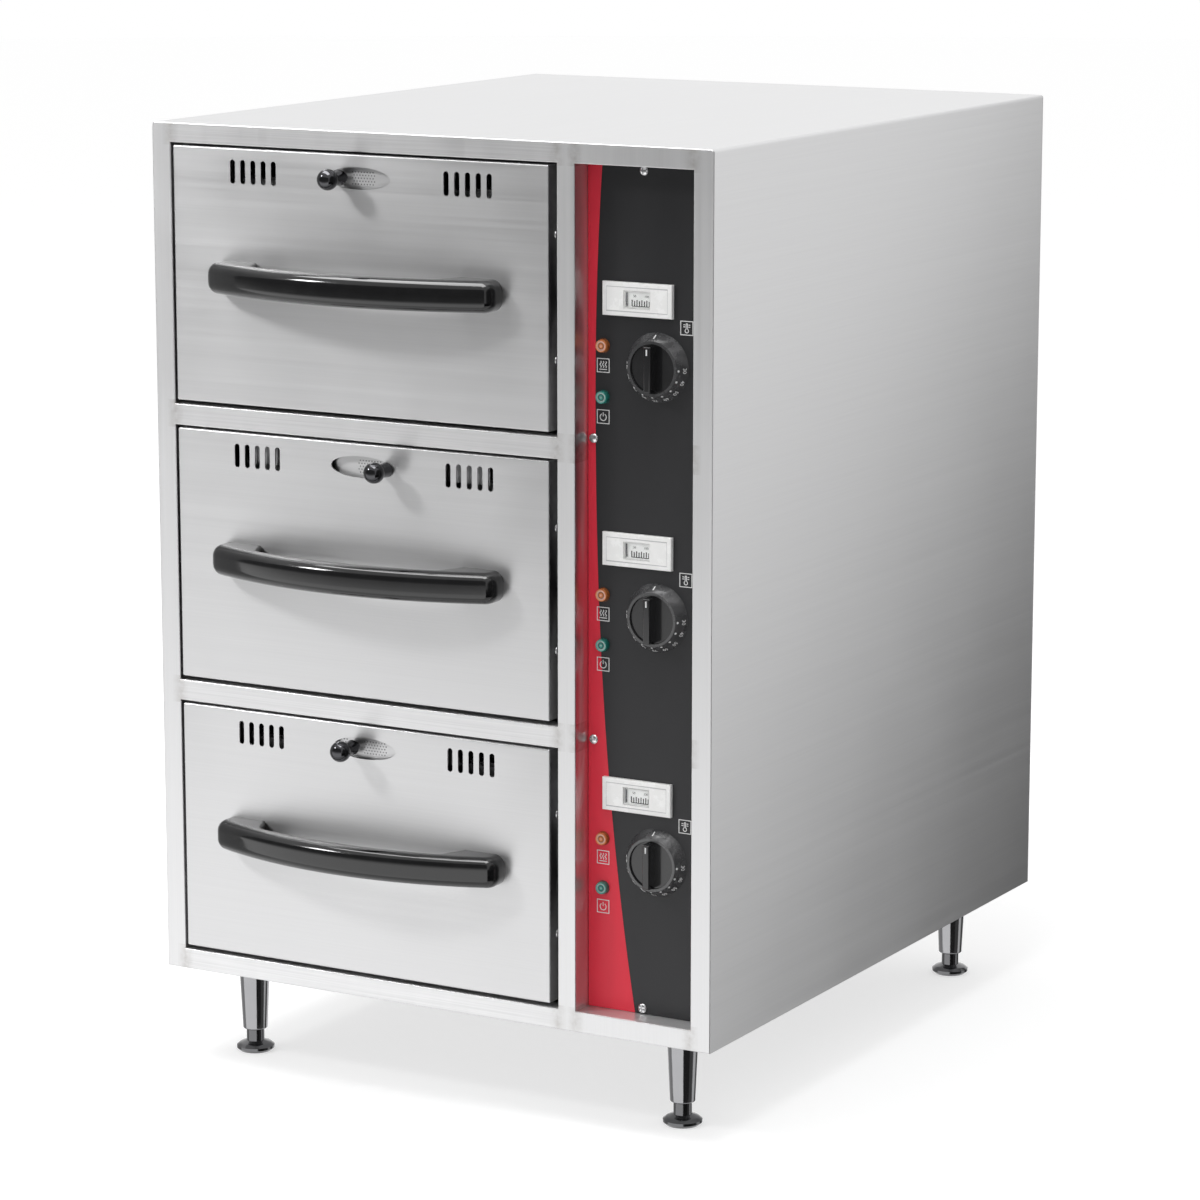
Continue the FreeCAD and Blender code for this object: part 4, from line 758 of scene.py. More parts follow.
def turned(profile: Sequence[Point2], segments: int = 64) -> bpy.types.Mesh:
    """Spins a profile about the y axis through the origin.

    Args:
        profile: (radius, y) pairs; a radius of 0 closes an end.
        segments: faces round it.

    Returns:
        The closed mesh.
    """
    points = []
    for k in range(segments):
        angle = 2 * math.pi * k / segments
        points += [(r * math.sin(angle), y, r * math.cos(angle)) for r, y in profile]
    count = len(profile)
    faces = []
    for k in range(segments):
        here, there = k * count, ((k + 1) % segments) * count
        faces += [(here + n, here + n + 1, there + n + 1, there + n) for n in range(count - 1)]
    return mesh_of("turned", points, faces)


def lettering(text: str, height: float, thickness: float) -> bpy.types.Mesh:
    """Makes a number as a thin raised mesh, centred, seen from the front.

    Args:
        text: the number.
        height: the font's size.
        thickness: how far it stands proud.

    Returns:
        A mesh with its back face at y 0.
    """
    curve = bpy.data.curves.new("number", "FONT")
    curve.body = text
    curve.size = height
    curve.align_x = curve.align_y = "CENTER"
    curve.extrude = thickness / 2
    curve.resolution_u = 3
    mesh = evaluated_mesh(placed("number", curve))
    mesh.transform(Matrix.Translation((0, 0, thickness / 2)))
    mesh.transform(Matrix.Rotation(math.radians(90), 4, "X"))
    return mesh


# ---------------------------------------------------------------- geometry nodes
class Growth(Nodes):
    """A Geometry Nodes tree with named inputs, run once on a set of places."""

    def __init__(self, name: str) -> None:
        """Starts a tree with a geometry input and output.

        Args:
            name: the tree's name.
        """
        super().__init__(bpy.data.node_groups.new(name, "GeometryNodeTree"))
        for way in ("INPUT", "OUTPUT"):
            self.tree.interface.new_socket("Geometry", in_out=way, socket_type="NodeSocketGeometry")
        self.start = self.node("NodeGroupInput")
        self.end = self.node("NodeGroupOutput")
        self.values: dict[str, float] = {}

    def size(self, name: str, value: float) -> Socket:
        """Adds a named size input.

        Args:
            name: the input's name.
            value: the size used for this run.

        Returns:
            The input's socket inside the tree.
        """
        socket = self.tree.interface.new_socket(name, in_out="INPUT", socket_type="NodeSocketFloat")
        self.values[socket.identifier] = value
        return self.start.outputs[name]

    def vector(self, across: Value = 0.0, back: Value = 0.0, up: Value = 0.0) -> Socket:
        """Combines three values."""
        return self.node("ShaderNodeCombineXYZ", {"X": across, "Y": back, "Z": up}).outputs[0]

    def moved(self, shape: bpy.types.Node, offset: Socket) -> Socket:
        """Moves a shape."""
        return self.node("GeometryNodeTransform",
                         {"Geometry": shape.outputs[0], "Translation": offset}).outputs[0]

    def on_places(self, shape: Socket) -> Socket:
        """Sets a shape on every place, with its z axis along the place's facing.

        Args:
            shape: the shape's geometry.

        Returns:
            The instances.
        """
        facing = self.node("GeometryNodeInputNamedAttribute", {"Name": "facing"},
                           data_type="FLOAT_VECTOR")
        turn = self.node("FunctionNodeAlignRotationToVector",
                         {"Vector": facing.outputs["Attribute"]}, axis="Z")
        return self.node("GeometryNodeInstanceOnPoints",
                         {"Points": self.start.outputs["Geometry"], "Instance": shape,
                          "Rotation": turn.outputs[0]}).outputs[0]

    def run(self, result: Socket, places: Places, facings: Places,
            material: bpy.types.Material) -> bpy.types.Mesh:
        """Ends the tree, runs it on the places and returns a plain mesh.

        Args:
            result: the geometry to give out.
            places: a point for each copy.
            facings: the direction that each copy faces.
            material: the material that the tree sets.

        Returns:
            The mesh, with no modifier left.
        """
        real = self.node("GeometryNodeRealizeInstances", {"Geometry": result})
        last = self.node("GeometryNodeSetMaterial",
                         {"Geometry": real.outputs[0], "Material": material})
        self.link(last.outputs[0], self.end.inputs["Geometry"])
        seed = bpy.data.meshes.new("places")
        seed.from_pydata([tuple(p) for p in places], [], [])
        attribute = seed.attributes.new("facing", "FLOAT_VECTOR", "POINT")
        for datum, facing in zip(attribute.data, facings):
            datum.vector = facing
        holder = placed("places", seed)
        modifier = holder.modifiers.new("growth", "NODES")
        modifier.node_group = self.tree
        for identifier, value in self.values.items():
            modifier[identifier] = value
        mesh = evaluated_mesh(holder)
        for name in ("facing", ".facing"):
            if name in mesh.attributes:
                mesh.attributes.remove(mesh.attributes[name])
        mend(mesh, thin=THIN)
        return mesh


class Repeated:
    """A shape that repeats on any number of places."""

    def shape(self, g: Growth) -> Socket:
        """Makes one copy in the tree; each kind has its own."""
        raise NotImplementedError

    def grow(self, places: Places, facings: Places, material: bpy.types.Material) -> bpy.types.Mesh:
        """Makes one mesh of copies on their seats, each with its z axis along its facing."""
        g = Growth(type(self).__name__)
        return g.run(g.on_places(self.shape(g)), places, facings, material)


@dataclass(frozen=True)
class PanScrews(Repeated):
    """Pan head screws with a cross recess."""

    head_radius: float
    head_height: float
    shank_radius: float
    shank_length: float
    bar_length: float = 1.25
    bar_width: float = 0.24
    bar_lift: float = 0.95

    def shape(self, g: Growth) -> Socket:
        """Makes a domed head with two bars cut out of it, on a shank.

        Args:
            g: the tree.

        Returns:
            The screw's geometry.
        """
        radius = g.size("Head Radius", self.head_radius)
        height = g.size("Head Height", self.head_height)
        shank = g.size("Shank Radius", self.shank_radius)
        length = g.size("Shank Length", self.shank_length)
        ball = g.node("GeometryNodeMeshUVSphere", {"Segments": 32, "Rings": 20, "Radius": 1.0})
        spot = g.node("GeometryNodeInputPosition").outputs[0]
        x, y, z = g.node("ShaderNodeSeparateXYZ", {"Vector": spot}).outputs
        crown = g.vector(g.maths("MULTIPLY", x, radius), g.maths("MULTIPLY", y, radius),
                         g.maths("MULTIPLY", g.maths("MAXIMUM", z, 0.0), height))
        dome = g.node("GeometryNodeSetPosition", {"Geometry": ball.outputs[0], "Position": crown})
        recess = g.node("GeometryNodeMeshBoolean", {"Mesh 1": dome.outputs[0]},
                        operation="DIFFERENCE", solver="EXACT")
        long = g.maths("MULTIPLY", radius, self.bar_length)
        narrow = g.maths("MULTIPLY", radius, self.bar_width)
        lift = g.vector(up=g.maths("MULTIPLY", height, self.bar_lift))
        for sides in ((narrow, long), (long, narrow)):
            bar = g.node("GeometryNodeMeshCube", {"Size": g.vector(*sides, height)})
            g.link(g.moved(bar, lift), recess.inputs["Mesh 2"])
        rod = g.node("GeometryNodeMeshCylinder", {"Vertices": 20, "Radius": shank, "Depth": length})
        both = g.node("GeometryNodeJoinGeometry")
        g.link(recess.outputs[0], both.inputs[0])
        g.link(g.moved(rod, g.vector(up=g.maths("MULTIPLY", length, -0.5))), both.inputs[0])
        return both.outputs[0]


@dataclass(frozen=True)
class Beads(Repeated):
    """Balls, or dots flattened along their facing."""

    radius: float
    flatness: float = 1.0

    def shape(self, g: Growth) -> Socket:
        """Makes one ball, flattened.

        Args:
            g: the tree.

        Returns:
            The ball's geometry.
        """
        radius = g.size("Radius", self.radius)
        flatness = g.size("Flatness", self.flatness)
        ball = g.node("GeometryNodeMeshIcoSphere", {"Radius": radius, "Subdivisions": 3})
        return g.node("GeometryNodeTransform", {"Geometry": ball.outputs[0],
                                                "Scale": g.vector(1.0, 1.0, flatness)}).outputs[0]


@dataclass(frozen=True)
class Ticks(Repeated):
    """Scale lines, thin raised bars that run along their facing."""

    width: float
    length: float
    thickness: float

    def shape(self, g: Growth) -> Socket:
        """Makes one bar, with its lower end at the place.

        Args:
            g: the tree.

        Returns:
            The bar's geometry.
        """
        width = g.size("Width", self.width)
        length = g.size("Length", self.length)
        thickness = g.size("Thickness", self.thickness)
        bar = g.node("GeometryNodeMeshCube", {"Size": g.vector(width, thickness, length)})
        return g.moved(bar, g.vector(up=g.maths("MULTIPLY", length, 0.5)))


# ---------------------------------------------------------------- finishes of this part
@dataclass
class Finishes:
    """Every finish, built once."""

    gap_left: float = 2.2 * MM
    gap_right: float = 7.8 * MM
    made: dict[str, bpy.types.Material] = field(default_factory=dict)

    def build(self) -> None:
        """Builds all materials under the names that the pieces use."""
        frame_low, frame_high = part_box("front_frame")
        fronts = [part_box(f"drawer_front_{name}") for name in DRAWERS]
        edges = [frame_high.z] + [z for low, high in fronts for z in (high.z, low.z)] + [frame_low.z]
        rails = tuple((edges[n + 1], edges[n]) for n in range(0, 8, 2))
        left, right = fronts[0][0].x - self.gap_left, fronts[0][1].x + self.gap_right
        bay_low, bay_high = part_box("control_panel")
        lamps = middle_of("pilot_lamps_amber").x
        finishes = (
            BrushedSteel("casing_steel", (0.74, 0.74, 0.745), Grain.BACK, 0.36, spin="Y"),
            BrushedSteel("drawer_steel", (0.70, 0.70, 0.705), Grain.ACROSS, 0.36, smudge=0.035),
            BrushedSteel("rear_steel", (0.66, 0.66, 0.665), Grain.UPRIGHT, 0.40, spin="Z"),
            BrushedSteel("shutter_steel", (0.66, 0.66, 0.665), Grain.ACROSS, 0.36),
            FrameSteel("frame_steel", (0.76, 0.76, 0.765), Grain.UPRIGHT, 0.36, rails=rails,
                       rail_span=(left, right), seams=(left, right, bay_low.x, bay_high.x)),
            DullMetal("liner_steel", (0.56, 0.56, 0.565), (0.61, 0.61, 0.615), 0.42, 22.0),
            DullMetal("runner_zinc", (0.56, 0.57, 0.60), (0.65, 0.66, 0.69), 0.36, 90.0),
            DullMetal("element_sheath", (0.10, 0.085, 0.075), (0.20, 0.15, 0.12), 0.55, 70.0),
            PolishedMetal("pan_steel", (0.70, 0.70, 0.71), 0.24, 0.03),
            PolishedMetal("screw_steel", (0.78, 0.78, 0.79), 0.18, 0.06),
            PolishedMetal("leg_chrome", (0.34, 0.34, 0.35), 0.10),
            PolishedMetal("ball_chrome", (0.085, 0.085, 0.09), 0.09),
            # The stamped dots' dark tone is painted shade, much darker than the shutter's steel.
            PolishedMetal("stamped_dots_painted_shade", (0.28, 0.28, 0.285), 0.35),
            PolishedMetal("foot_steel", (0.15, 0.15, 0.155), 0.15),
            PolishedMetal("runner_balls", (0.70, 0.70, 0.71), 0.12),
            GlossPlastic("handle_black", (0.003, 0.003, 0.0035), 0.09, coat=0.45),
            GlossPlastic("dial_black", (0.008, 0.008, 0.009), 0.18, coat=0.5),
            GlossPlastic("ring_black", (0.042, 0.042, 0.044), 0.24, coat=0.9),
            GlossPlastic("bezel_white", (0.92, 0.92, 0.91), 0.24, coat=0.3),
            GlossPlastic("scale_plate", (0.84, 0.85, 0.84), 0.35, coat=0.1),
            GlossPlastic("gland_black", (0.03, 0.03, 0.03), 0.40, coat=0.0),
            GlossPlastic("switch_brown", (0.05, 0.035, 0.025), 0.38, coat=0.0),
            Film("panel_black", (0.024, 0.024, 0.026)),
            Film("panel_red", (0.82, 0.03, 0.06), 0.36),
            Ink("ink_white", (0.82, 0.82, 0.82)),
            Ink("ink_black", (0.03, 0.03, 0.03)),
            Ink("ink_grey", (0.56, 0.56, 0.57)),
            Ink("pointer_grey", (0.12, 0.12, 0.13)),
            Lens("lens_amber_painted_rings", (0.62, 0.19, 0.05), lamps, tuple(three_heights("pilot_lamps_amber"))),
            Lens("lens_green_painted_rings", (0.02, 0.24, 0.20), lamps, tuple(three_heights("pilot_lamps_green"))),
            ClearPlastic("clear_window"),
            Wool("mineral_wool"),
        )
        for finish in finishes:
            self.made[finish.name] = finish.material()

    def __getitem__(self, name: str) -> bpy.types.Material:
        """Returns a finish by name."""
        return self.made[name]

    def dress(self, nodes: dict[str, str]) -> None:
        """Gives CAD nodes their finishes as they are."""
        for node, finish in nodes.items():
            coat(frame["nodes"][node].data, self.made[finish])

    def smooth(self, nodes: dict[str, str]) -> None:
        """Gives CAD nodes their finishes on smooth copies."""
        for node, finish in nodes.items():
            merged_copy(node, self.made[finish])


# ---------------------------------------------------------------- cabinet
@dataclass
class Cabinet:
    """The sheet metal body, its inside and its legs."""

    finishes: Finishes
    rear_screws: PanScrews = PanScrews(head_radius=4.2 * MM, head_height=2.4 * MM,
                                       shank_radius=2.0 * MM, shank_length=6.0 * MM)

    def dress(self) -> None:
        """Gives the cabinet's nodes their finishes."""
        self.finishes.dress({
            "outer_casing": "casing_steel", "front_frame": "frame_steel",
            "base_panel": "rear_steel", "rear_panel": "rear_steel",
            "inner_liner": "liner_steel", "cavity_decks": "liner_steel",
            "outer_rails": "runner_zinc", "insulation": "mineral_wool",
        })
        feet = {f"foot_{end}_{side}": "foot_steel"
                for end in ("front", "rear") for side in ("left", "right")}
        self.finishes.smooth({"heating_elements": "element_sheath", "legs": "leg_chrome",
                              "cable_gland": "gland_black", **feet})

    def build(self) -> None:
        """Makes the rear screws with their cross recesses."""
        low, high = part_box("rear_screws")
        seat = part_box("rear_panel")[1].y
        radius = self.rear_screws.head_radius
        across = (low.x + radius, high.x - radius)
        heights = (low.z + radius, (low.z + high.z) / 2, high.z - radius)
        places = [(x, seat, z) for x in across for z in heights]
        mesh = self.rear_screws.grow(places, [(0, 1, 0)] * len(places),
                                     self.finishes["screw_steel"])
        made = piece_from(mesh, "rear_screws_crossed", "cabinet", self.finishes["screw_steel"])
        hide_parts("rear_screws")


# ---------------------------------------------------------------- control bay
@dataclass
class ControlBay:
    """The recessed panel with its film, pictograms, dials, thermometers and lamps."""

    finishes: Finishes
    ink: float = 0.12 * MM
    band_least: float = 6.9 * MM
    band_low: float = 38.2 * MM
    band_high: float = 6.5 * MM
    band_waist: float = 183.0 * MM
    band_power: float = 2.3
    band_steps: int = 72
    sign_width: float = 11.2 * MM
    stroke: float = 0.65 * MM
    heat_sign_drop: float = 16.4 * MM
    power_sign_drop: float = 16.4 * MM
    dial_sign_across: float = 27.0 * MM
    dial_sign_rise: float = 34.2 * MM
    lens_base: float = 6.2 * MM
    lens_face: float = 5.2 * MM
    lamp_shaft: float = 5.0 * MM
    lens_rings: int = 3
    lens_ridge: float = 0.6 * MM
    lens_rim: float = 0.6 * MM
    crown_share: float = 0.96
    ring_steps: int = 6
    screw_front: float = 2.3 * MM
    screws_apart: float = 12 * MM
    screw_across: float = 10 * MM
    screws: PanScrews = PanScrews(head_radius=4.25 * MM, head_height=2.4 * MM,
                                  shank_radius=2.0 * MM, shank_length=6.0 * MM)

    def __post_init__(self) -> None:
        """Reads the panel's place."""
        self.low, self.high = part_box("control_panel")
        self.face = self.low.y

    def dress(self) -> None:
        """Gives the control bay's nodes their finishes."""
        pointers = {f"thermometer_pointer_{name}": "pointer_grey" for name in DRAWERS}
        self.finishes.dress({"control_panel": "panel_black", "thermometer_windows": "clear_window",
                             **pointers})
        knobs = {f"thermostat_knob_{name}": "dial_black" for name in DRAWERS}
        self.finishes.smooth({"thermometer_cases": "bezel_white", "knob_bezels": "ring_black",
                              "thermostats": "switch_brown", **knobs})

    def build(self) -> None:
        """Makes the film, the signs, the lamps' lenses and the screws."""
        self.build_red_band()
        self.build_signs()
        self.build_lenses("amber", "lens_amber_painted_rings")
        self.build_lenses("green", "lens_green_painted_rings")
        self.build_screws()

    def band_edge(self, drop: float) -> float:
        """Gives the red band's width at a height.

        Args:
            drop: distance below the panel's top edge.

        Returns:
            The band's width from the panel's left edge.
        """
        below = drop - self.band_waist
        if below < 0:
            return self.band_least + self.band_high * (below / self.band_waist) ** 2
        reach = self.high.z - self.low.z - self.band_waist
        return self.band_least + self.band_low * (below / reach) ** self.band_power

    def build_red_band(self) -> None:
        """Makes the red band along the film's left margin."""
        height = self.high.z - self.low.z
        points = []
        for n in range(self.band_steps + 1):
            drop = height * n / self.band_steps
            left, right = self.low.x, self.low.x + self.band_edge(drop)
            up = self.high.z - drop
            points += [(left, self.face, up), (left, self.face - self.ink, up),
                       (right, self.face - self.ink, up), (right, self.face, up)]
        count = self.band_steps + 1
        faces = tube_faces(self.band_steps, 4, count) + end_faces(4, count)
        piece_from(mesh_of("red_band", points, faces), "red_band", "cabinet",
                   self.finishes["panel_red"], 20.0)

    def sign(self, strokes: Sequence[Sequence[Point2]], closed: Sequence[bool],
             across: float, up: float) -> list[bpy.types.Mesh]:
        """Draws one framed sign.

        Args:
            strokes: its lines in units of the sign's width, about its middle.
            closed: whether each line is closed.
            across: the sign's middle, x.
            up: the sign's middle, z.

        Returns:
            Its strokes as meshes, in place.
        """
        half = self.sign_width / 2
        box = [(-half, -half), (half, -half), (half, half), (-half, half)]
        lines = [(box, True)]
        lines += [([(x * self.sign_width, z * self.sign_width) for x, z in line], shut)
                  for line, shut in zip(strokes, closed)]
        meshes = []
        for line, shut in lines:
            mesh = ribbon(line, self.stroke, self.ink * 2, shut)
            mesh.transform(Matrix.Translation((across, self.face, up)))
            meshes.append(mesh)
        return meshes

    def build_signs(self) -> None:
        """Makes the heat, power and thermometer signs beside each drawer's controls."""
        wave = [[(offset + 0.055 * math.sin(t / 12 * 3 * math.pi), -0.17 + 0.48 * t / 12)
                 for t in range(13)] for offset in (-0.22, 0.0, 0.22)]
        heat = wave + [[(-0.32, -0.29), (0.32, -0.29)]]
        power = [arc((0, -0.03), 0.26, 32, 328), [(0, 0.32), (0, 0.02)]]
        bulb = arc((0, -0.2), 0.14, 24, 336)
        stem = [bulb[-1]] + arc((0, 0.27), 0.057, -90, 90, 6) + [bulb[0]]
        notches = [[(side * 0.14, z), (side * 0.28, z)] for side in (-1, 1) for z in (0.24, 0.09)]
        dial = [bulb, stem] + notches
        amber = three_heights("pilot_lamps_amber")
        green = three_heights("pilot_lamps_green")
        lamp_across = middle_of("pilot_lamps_amber").x
        meshes = []
        for number, name in enumerate(DRAWERS):
            knob = middle_of(f"thermostat_knob_{name}")
            meshes += self.sign(heat, [False] * 4, lamp_across, amber[number] - self.heat_sign_drop)
            meshes += self.sign(power, [False] * 2, lamp_across,
                                green[number] - self.power_sign_drop)
            meshes += self.sign(dial, [False] * 6, knob.x + self.dial_sign_across,
                                knob.z + self.dial_sign_rise)
        piece_from(joined(meshes, "panel_signs"), "panel_signs", "cabinet",
                   self.finishes["ink_white"])

    def build_lenses(self, colour: str, finish: str) -> None:
        """Makes three lamps with ridged lenses.

        Args:
            colour: amber or green.
            finish: the lens finish.
        """
        node = f"pilot_lamps_{colour}"
        low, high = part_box(node)
        across = (low.x + high.x) / 2
        proud = self.face - low.y
        rear = high.y - self.face
        ridge, steps = self.lens_ridge, self.lens_rings * self.ring_steps
        profile = []
        for n in range(steps + 1):
            wave = math.cos(n / self.ring_steps * 2 * math.pi)
            profile.append((self.lens_face * self.crown_share * n / steps,
                            -proud + ridge / 2 - ridge / 2 * wave))
        profile += [(self.lens_face, -proud + ridge), (self.lens_base, -self.lens_rim),
                    (self.lens_base, 0.0), (self.lamp_shaft, 0.0), (self.lamp_shaft, rear),
                    (0.0, rear)]
        meshes = []
        for up in three_heights(node):
            mesh = turned(profile, 48)
            mesh.transform(Matrix.Translation((across, self.face, up)))
            meshes.append(mesh)
        made = piece_from(joined(meshes, node), f"{node}_ridged", "cabinet",
                          self.finishes[finish], 50.0)
        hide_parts(node)

    def build_screws(self) -> None:
        """Makes the panel's four screws with their cross recesses."""
        mesh = frame["nodes"]["panel_screws"].data
        fronts = [v.co for v in mesh.vertices if v.co.y < self.face - self.screw_front]
        places: list[Vector] = []
        for spot in fronts:
            if all((spot - other).length > self.screws_apart for other in places):
                cluster = [v for v in fronts if (v - spot).length < self.screw_across]
                places.append(sum(cluster, Vector()) / len(cluster))
        seats = [(p.x, self.face, p.z) for p in places]
        grown = self.screws.grow(seats, [(0, -1, 0)] * len(seats), self.finishes["screw_steel"])
        made = piece_from(grown, "panel_screws_crossed", "cabinet", self.finishes["screw_steel"])
        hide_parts("panel_screws")


@dataclass
class Dial:
    """The marks on one scale ring and on its knob."""

    finishes: Finishes
    name: str
    ring_radius: float = 29.0 * MM
    ring_face: float = 22.8 * MM
    ring_height: float = 10.0 * MM
    first_angle: float = 91.0
    last_angle: float = 271.0
    marks: tuple[str, ...] = ("30", "40", "50", "60", "70", "80", "90", "100", "110")
    number_height: float = 4.8 * MM
    number_place: float = 0.34
    dot_place: float = 0.82
    dot_radius: float = 1.0 * MM
    dot_flatness: float = 0.25
    print_height: float = 0.1 * MM
    index_place: float = 0.5
    index_half: float = 2.4 * MM
    index_width: float = 1.0 * MM
    line_start: float = 12.0 * MM
    line_end: float = 17.0 * MM
    line_width: float = 1.2 * MM
    line_height: float = 0.15 * MM

    def __post_init__(self) -> None:
        """Reads the knob's middle and the panel's face."""
        self.middle = middle_of(f"thermostat_knob_{self.name}")
        self.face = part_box("control_panel")[0].y

    def on_ring(self, angle: float, share: float, sideways: float = 0.0) -> Vector:
        """Finds a point on the ring's cone.

        Args:
            angle: degrees clockwise from straight up.
            share: 0 at the ring's outer edge on the panel, 1 at its front edge.
            sideways: metres along the ring.

        Returns:
            The point, in the frame.
        """
        radius = self.ring_radius + (self.ring_face - self.ring_radius) * share
        turn = math.radians(angle) + sideways / radius
        return self.middle + Vector((radius * math.sin(turn),
                                     self.face - self.ring_height * share - self.middle.y,
                                     radius * math.cos(turn)))

    def outward(self, angle: float) -> Vector:
        """Gives the cone's outward direction at an angle.

        Args:
            angle: degrees clockwise from straight up.

        Returns:
            The direction.
        """
        slope = Vector((self.ring_height, self.ring_radius - self.ring_face)).normalized()
        turn = math.radians(angle)
        return Vector((slope.x * math.sin(turn), -slope.y, slope.x * math.cos(turn)))

    def wrap(self, mesh: bpy.types.Mesh, angle: float, place: float) -> bpy.types.Mesh:
        """Bends a flat mark onto the cone.

        Args:
            mesh: the mark, seen from the front.
            angle: degrees clockwise from straight up.
            place: 0 at the ring's outer edge on the panel, 1 at its front edge.

        Returns:
            The same mesh.
        """
        slant = math.hypot(self.ring_height, self.ring_radius - self.ring_face)
        out = self.outward(angle)
        for vertex in mesh.vertices:
            flat = vertex.co.copy()
            vertex.co = self.on_ring(angle, place - flat.z / slant, flat.x) - out * flat.y
        return mesh

    def build(self) -> None:
        """Makes the marks on the ring and the line on the knob."""
        self.build_ring_marks()
        self.build_knob_line()

    def build_ring_marks(self) -> None:
        """Makes the ring's dots, numbers and index."""
        step = (self.last_angle - self.first_angle) / (len(self.marks) - 1)
        angles = [self.first_angle + step * n for n in range(len(self.marks))]
        ink = self.finishes["ink_white"]
        dots = Beads(self.dot_radius, self.dot_flatness)
        meshes = [dots.grow([self.on_ring(a, self.dot_place) for a in angles],
                            [self.outward(a) for a in angles], ink)]
        meshes += [self.wrap(lettering(mark, self.number_height, self.print_height), angle,
                             self.number_place) for angle, mark in zip(angles, self.marks)]
        index = ribbon([(0, -self.index_half), (0, self.index_half)], self.index_width,
                       self.print_height)
        meshes.append(self.wrap(index, 0.0, self.index_place))
        piece_from(joined(meshes, "ring_marks"), f"ring_marks_{self.name}", "cabinet", ink)

    def build_knob_line(self) -> None:
        """Makes the knob's white line."""
        low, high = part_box(f"thermostat_knob_{self.name}")
        line = ribbon([(0, self.line_start), (0, self.line_end)], self.line_width, self.line_height)
        line.transform(Matrix.Translation(((low.x + high.x) / 2, low.y, (low.z + high.z) / 2)))
        piece_from(line, f"knob_line_{self.name}", f"dial_{self.name}",
                   self.finishes["ink_white"])


@dataclass
class Thermometer:
    """The scale of one thermometer and the raised line round its bezel."""

    finishes: Finishes
    name: str
    well_width: float = 23.0 * MM
    well_height: float = 13.0 * MM
    scale_depth: float = 3.0 * MM
    ticks: int = 8
    tick_lengths: tuple[float, float] = (5.2 * MM, 4.4 * MM)
    tick_width: float = 1.0 * MM
    print_height: float = 0.1 * MM
    scale_start: float = 5.6 * MM
    scale_floor: float = 1.0 * MM
    scale_span: float = 16.0 * MM
    base_width: float = 0.7 * MM
    numbers: tuple[str, ...] = ("50", "100")
    number_size: float = 2.8 * MM
    number_rise: float = 8.2 * MM
    number_places: tuple[float, ...] = (0.15, 0.85)
    fine_height: float = 0.06 * MM
    plate_edge: float = 0.05 * MM
    rim_width: float = 57.0 * MM
    rim_height: float = 20.0 * MM
    rim_line: float = 0.5 * MM
    rim_proud: float = 0.08 * MM

    def __post_init__(self) -> None:
        """Reads the case's face and the window's middle."""
        self.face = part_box("thermometer_cases")[0].y
        self.across = middle_of("thermometer_cases").x
        self.up = middle_of(f"thermometer_pointer_{self.name}").z
        self.plate = self.face + self.scale_depth

    def build(self) -> None:
        """Makes the scale plate, its marks and the bezel's line."""
        self.build_plate()
        self.build_scale()
        self.build_rim()

    def build_plate(self) -> None:
        """Makes the thin plate that carries the scale."""
        wide = self.well_width / 2 - self.plate_edge
        tall = self.well_height / 2 - self.plate_edge
        points = [(self.across + x * wide, self.plate - y * self.print_height, self.up + z * tall)
                  for y in (0, 1) for x, z in ((-1, -1), (1, -1), (1, 1), (-1, 1))]
        faces = [(0, 1, 2, 3), (7, 6, 5, 4), (0, 4, 5, 1), (1, 5, 6, 2), (2, 6, 7, 3), (3, 7, 4, 0)]
        piece_from(mesh_of("plate", points, faces), f"scale_plate_{self.name}", "cabinet",
                   self.finishes["scale_plate"])

    def build_scale(self) -> None:
        """Makes the scale's ticks, base line and numbers."""
        face = self.plate - self.print_height
        start, span = self.across - self.well_width / 2 + self.scale_start, self.scale_span
        floor = self.up - self.well_height / 2 + self.scale_floor
        meshes = []
        for kind, length in enumerate(self.tick_lengths):
            places = [(start + span * n / (self.ticks - 1), face, floor)
                      for n in range(self.ticks) if n % 2 == kind]
            meshes.append(Ticks(self.tick_width, length, self.print_height).grow(
                places, [(0, 0, 1)] * len(places), self.finishes["ink_black"]))
        base = ribbon([(start, floor), (start + span, floor)], self.base_width, self.fine_height)
        base.transform(Matrix.Translation((0, face, 0)))
        meshes.append(base)
        for mark, share in zip(self.numbers, self.number_places):
            mesh = lettering(mark, self.number_size, self.fine_height)
            mesh.transform(Matrix.Translation((start + span * share, face,
                                               floor + self.number_rise)))
            meshes.append(mesh)
        piece_from(joined(meshes, "scale"), f"scale_marks_{self.name}", "cabinet",
                   self.finishes["ink_black"])

    def build_rim(self) -> None:
        """Makes the fine line round the bezel."""
        half, high = self.rim_width / 2, self.rim_height / 2
        line = ribbon([(-half, -high), (half, -high), (half, high), (-half, high)],
                      self.rim_line, self.rim_proud, True)
        line.transform(Matrix.Translation((self.across, self.face, self.up)))
        piece_from(line, f"bezel_line_{self.name}", "cabinet", self.finishes["ink_grey"])


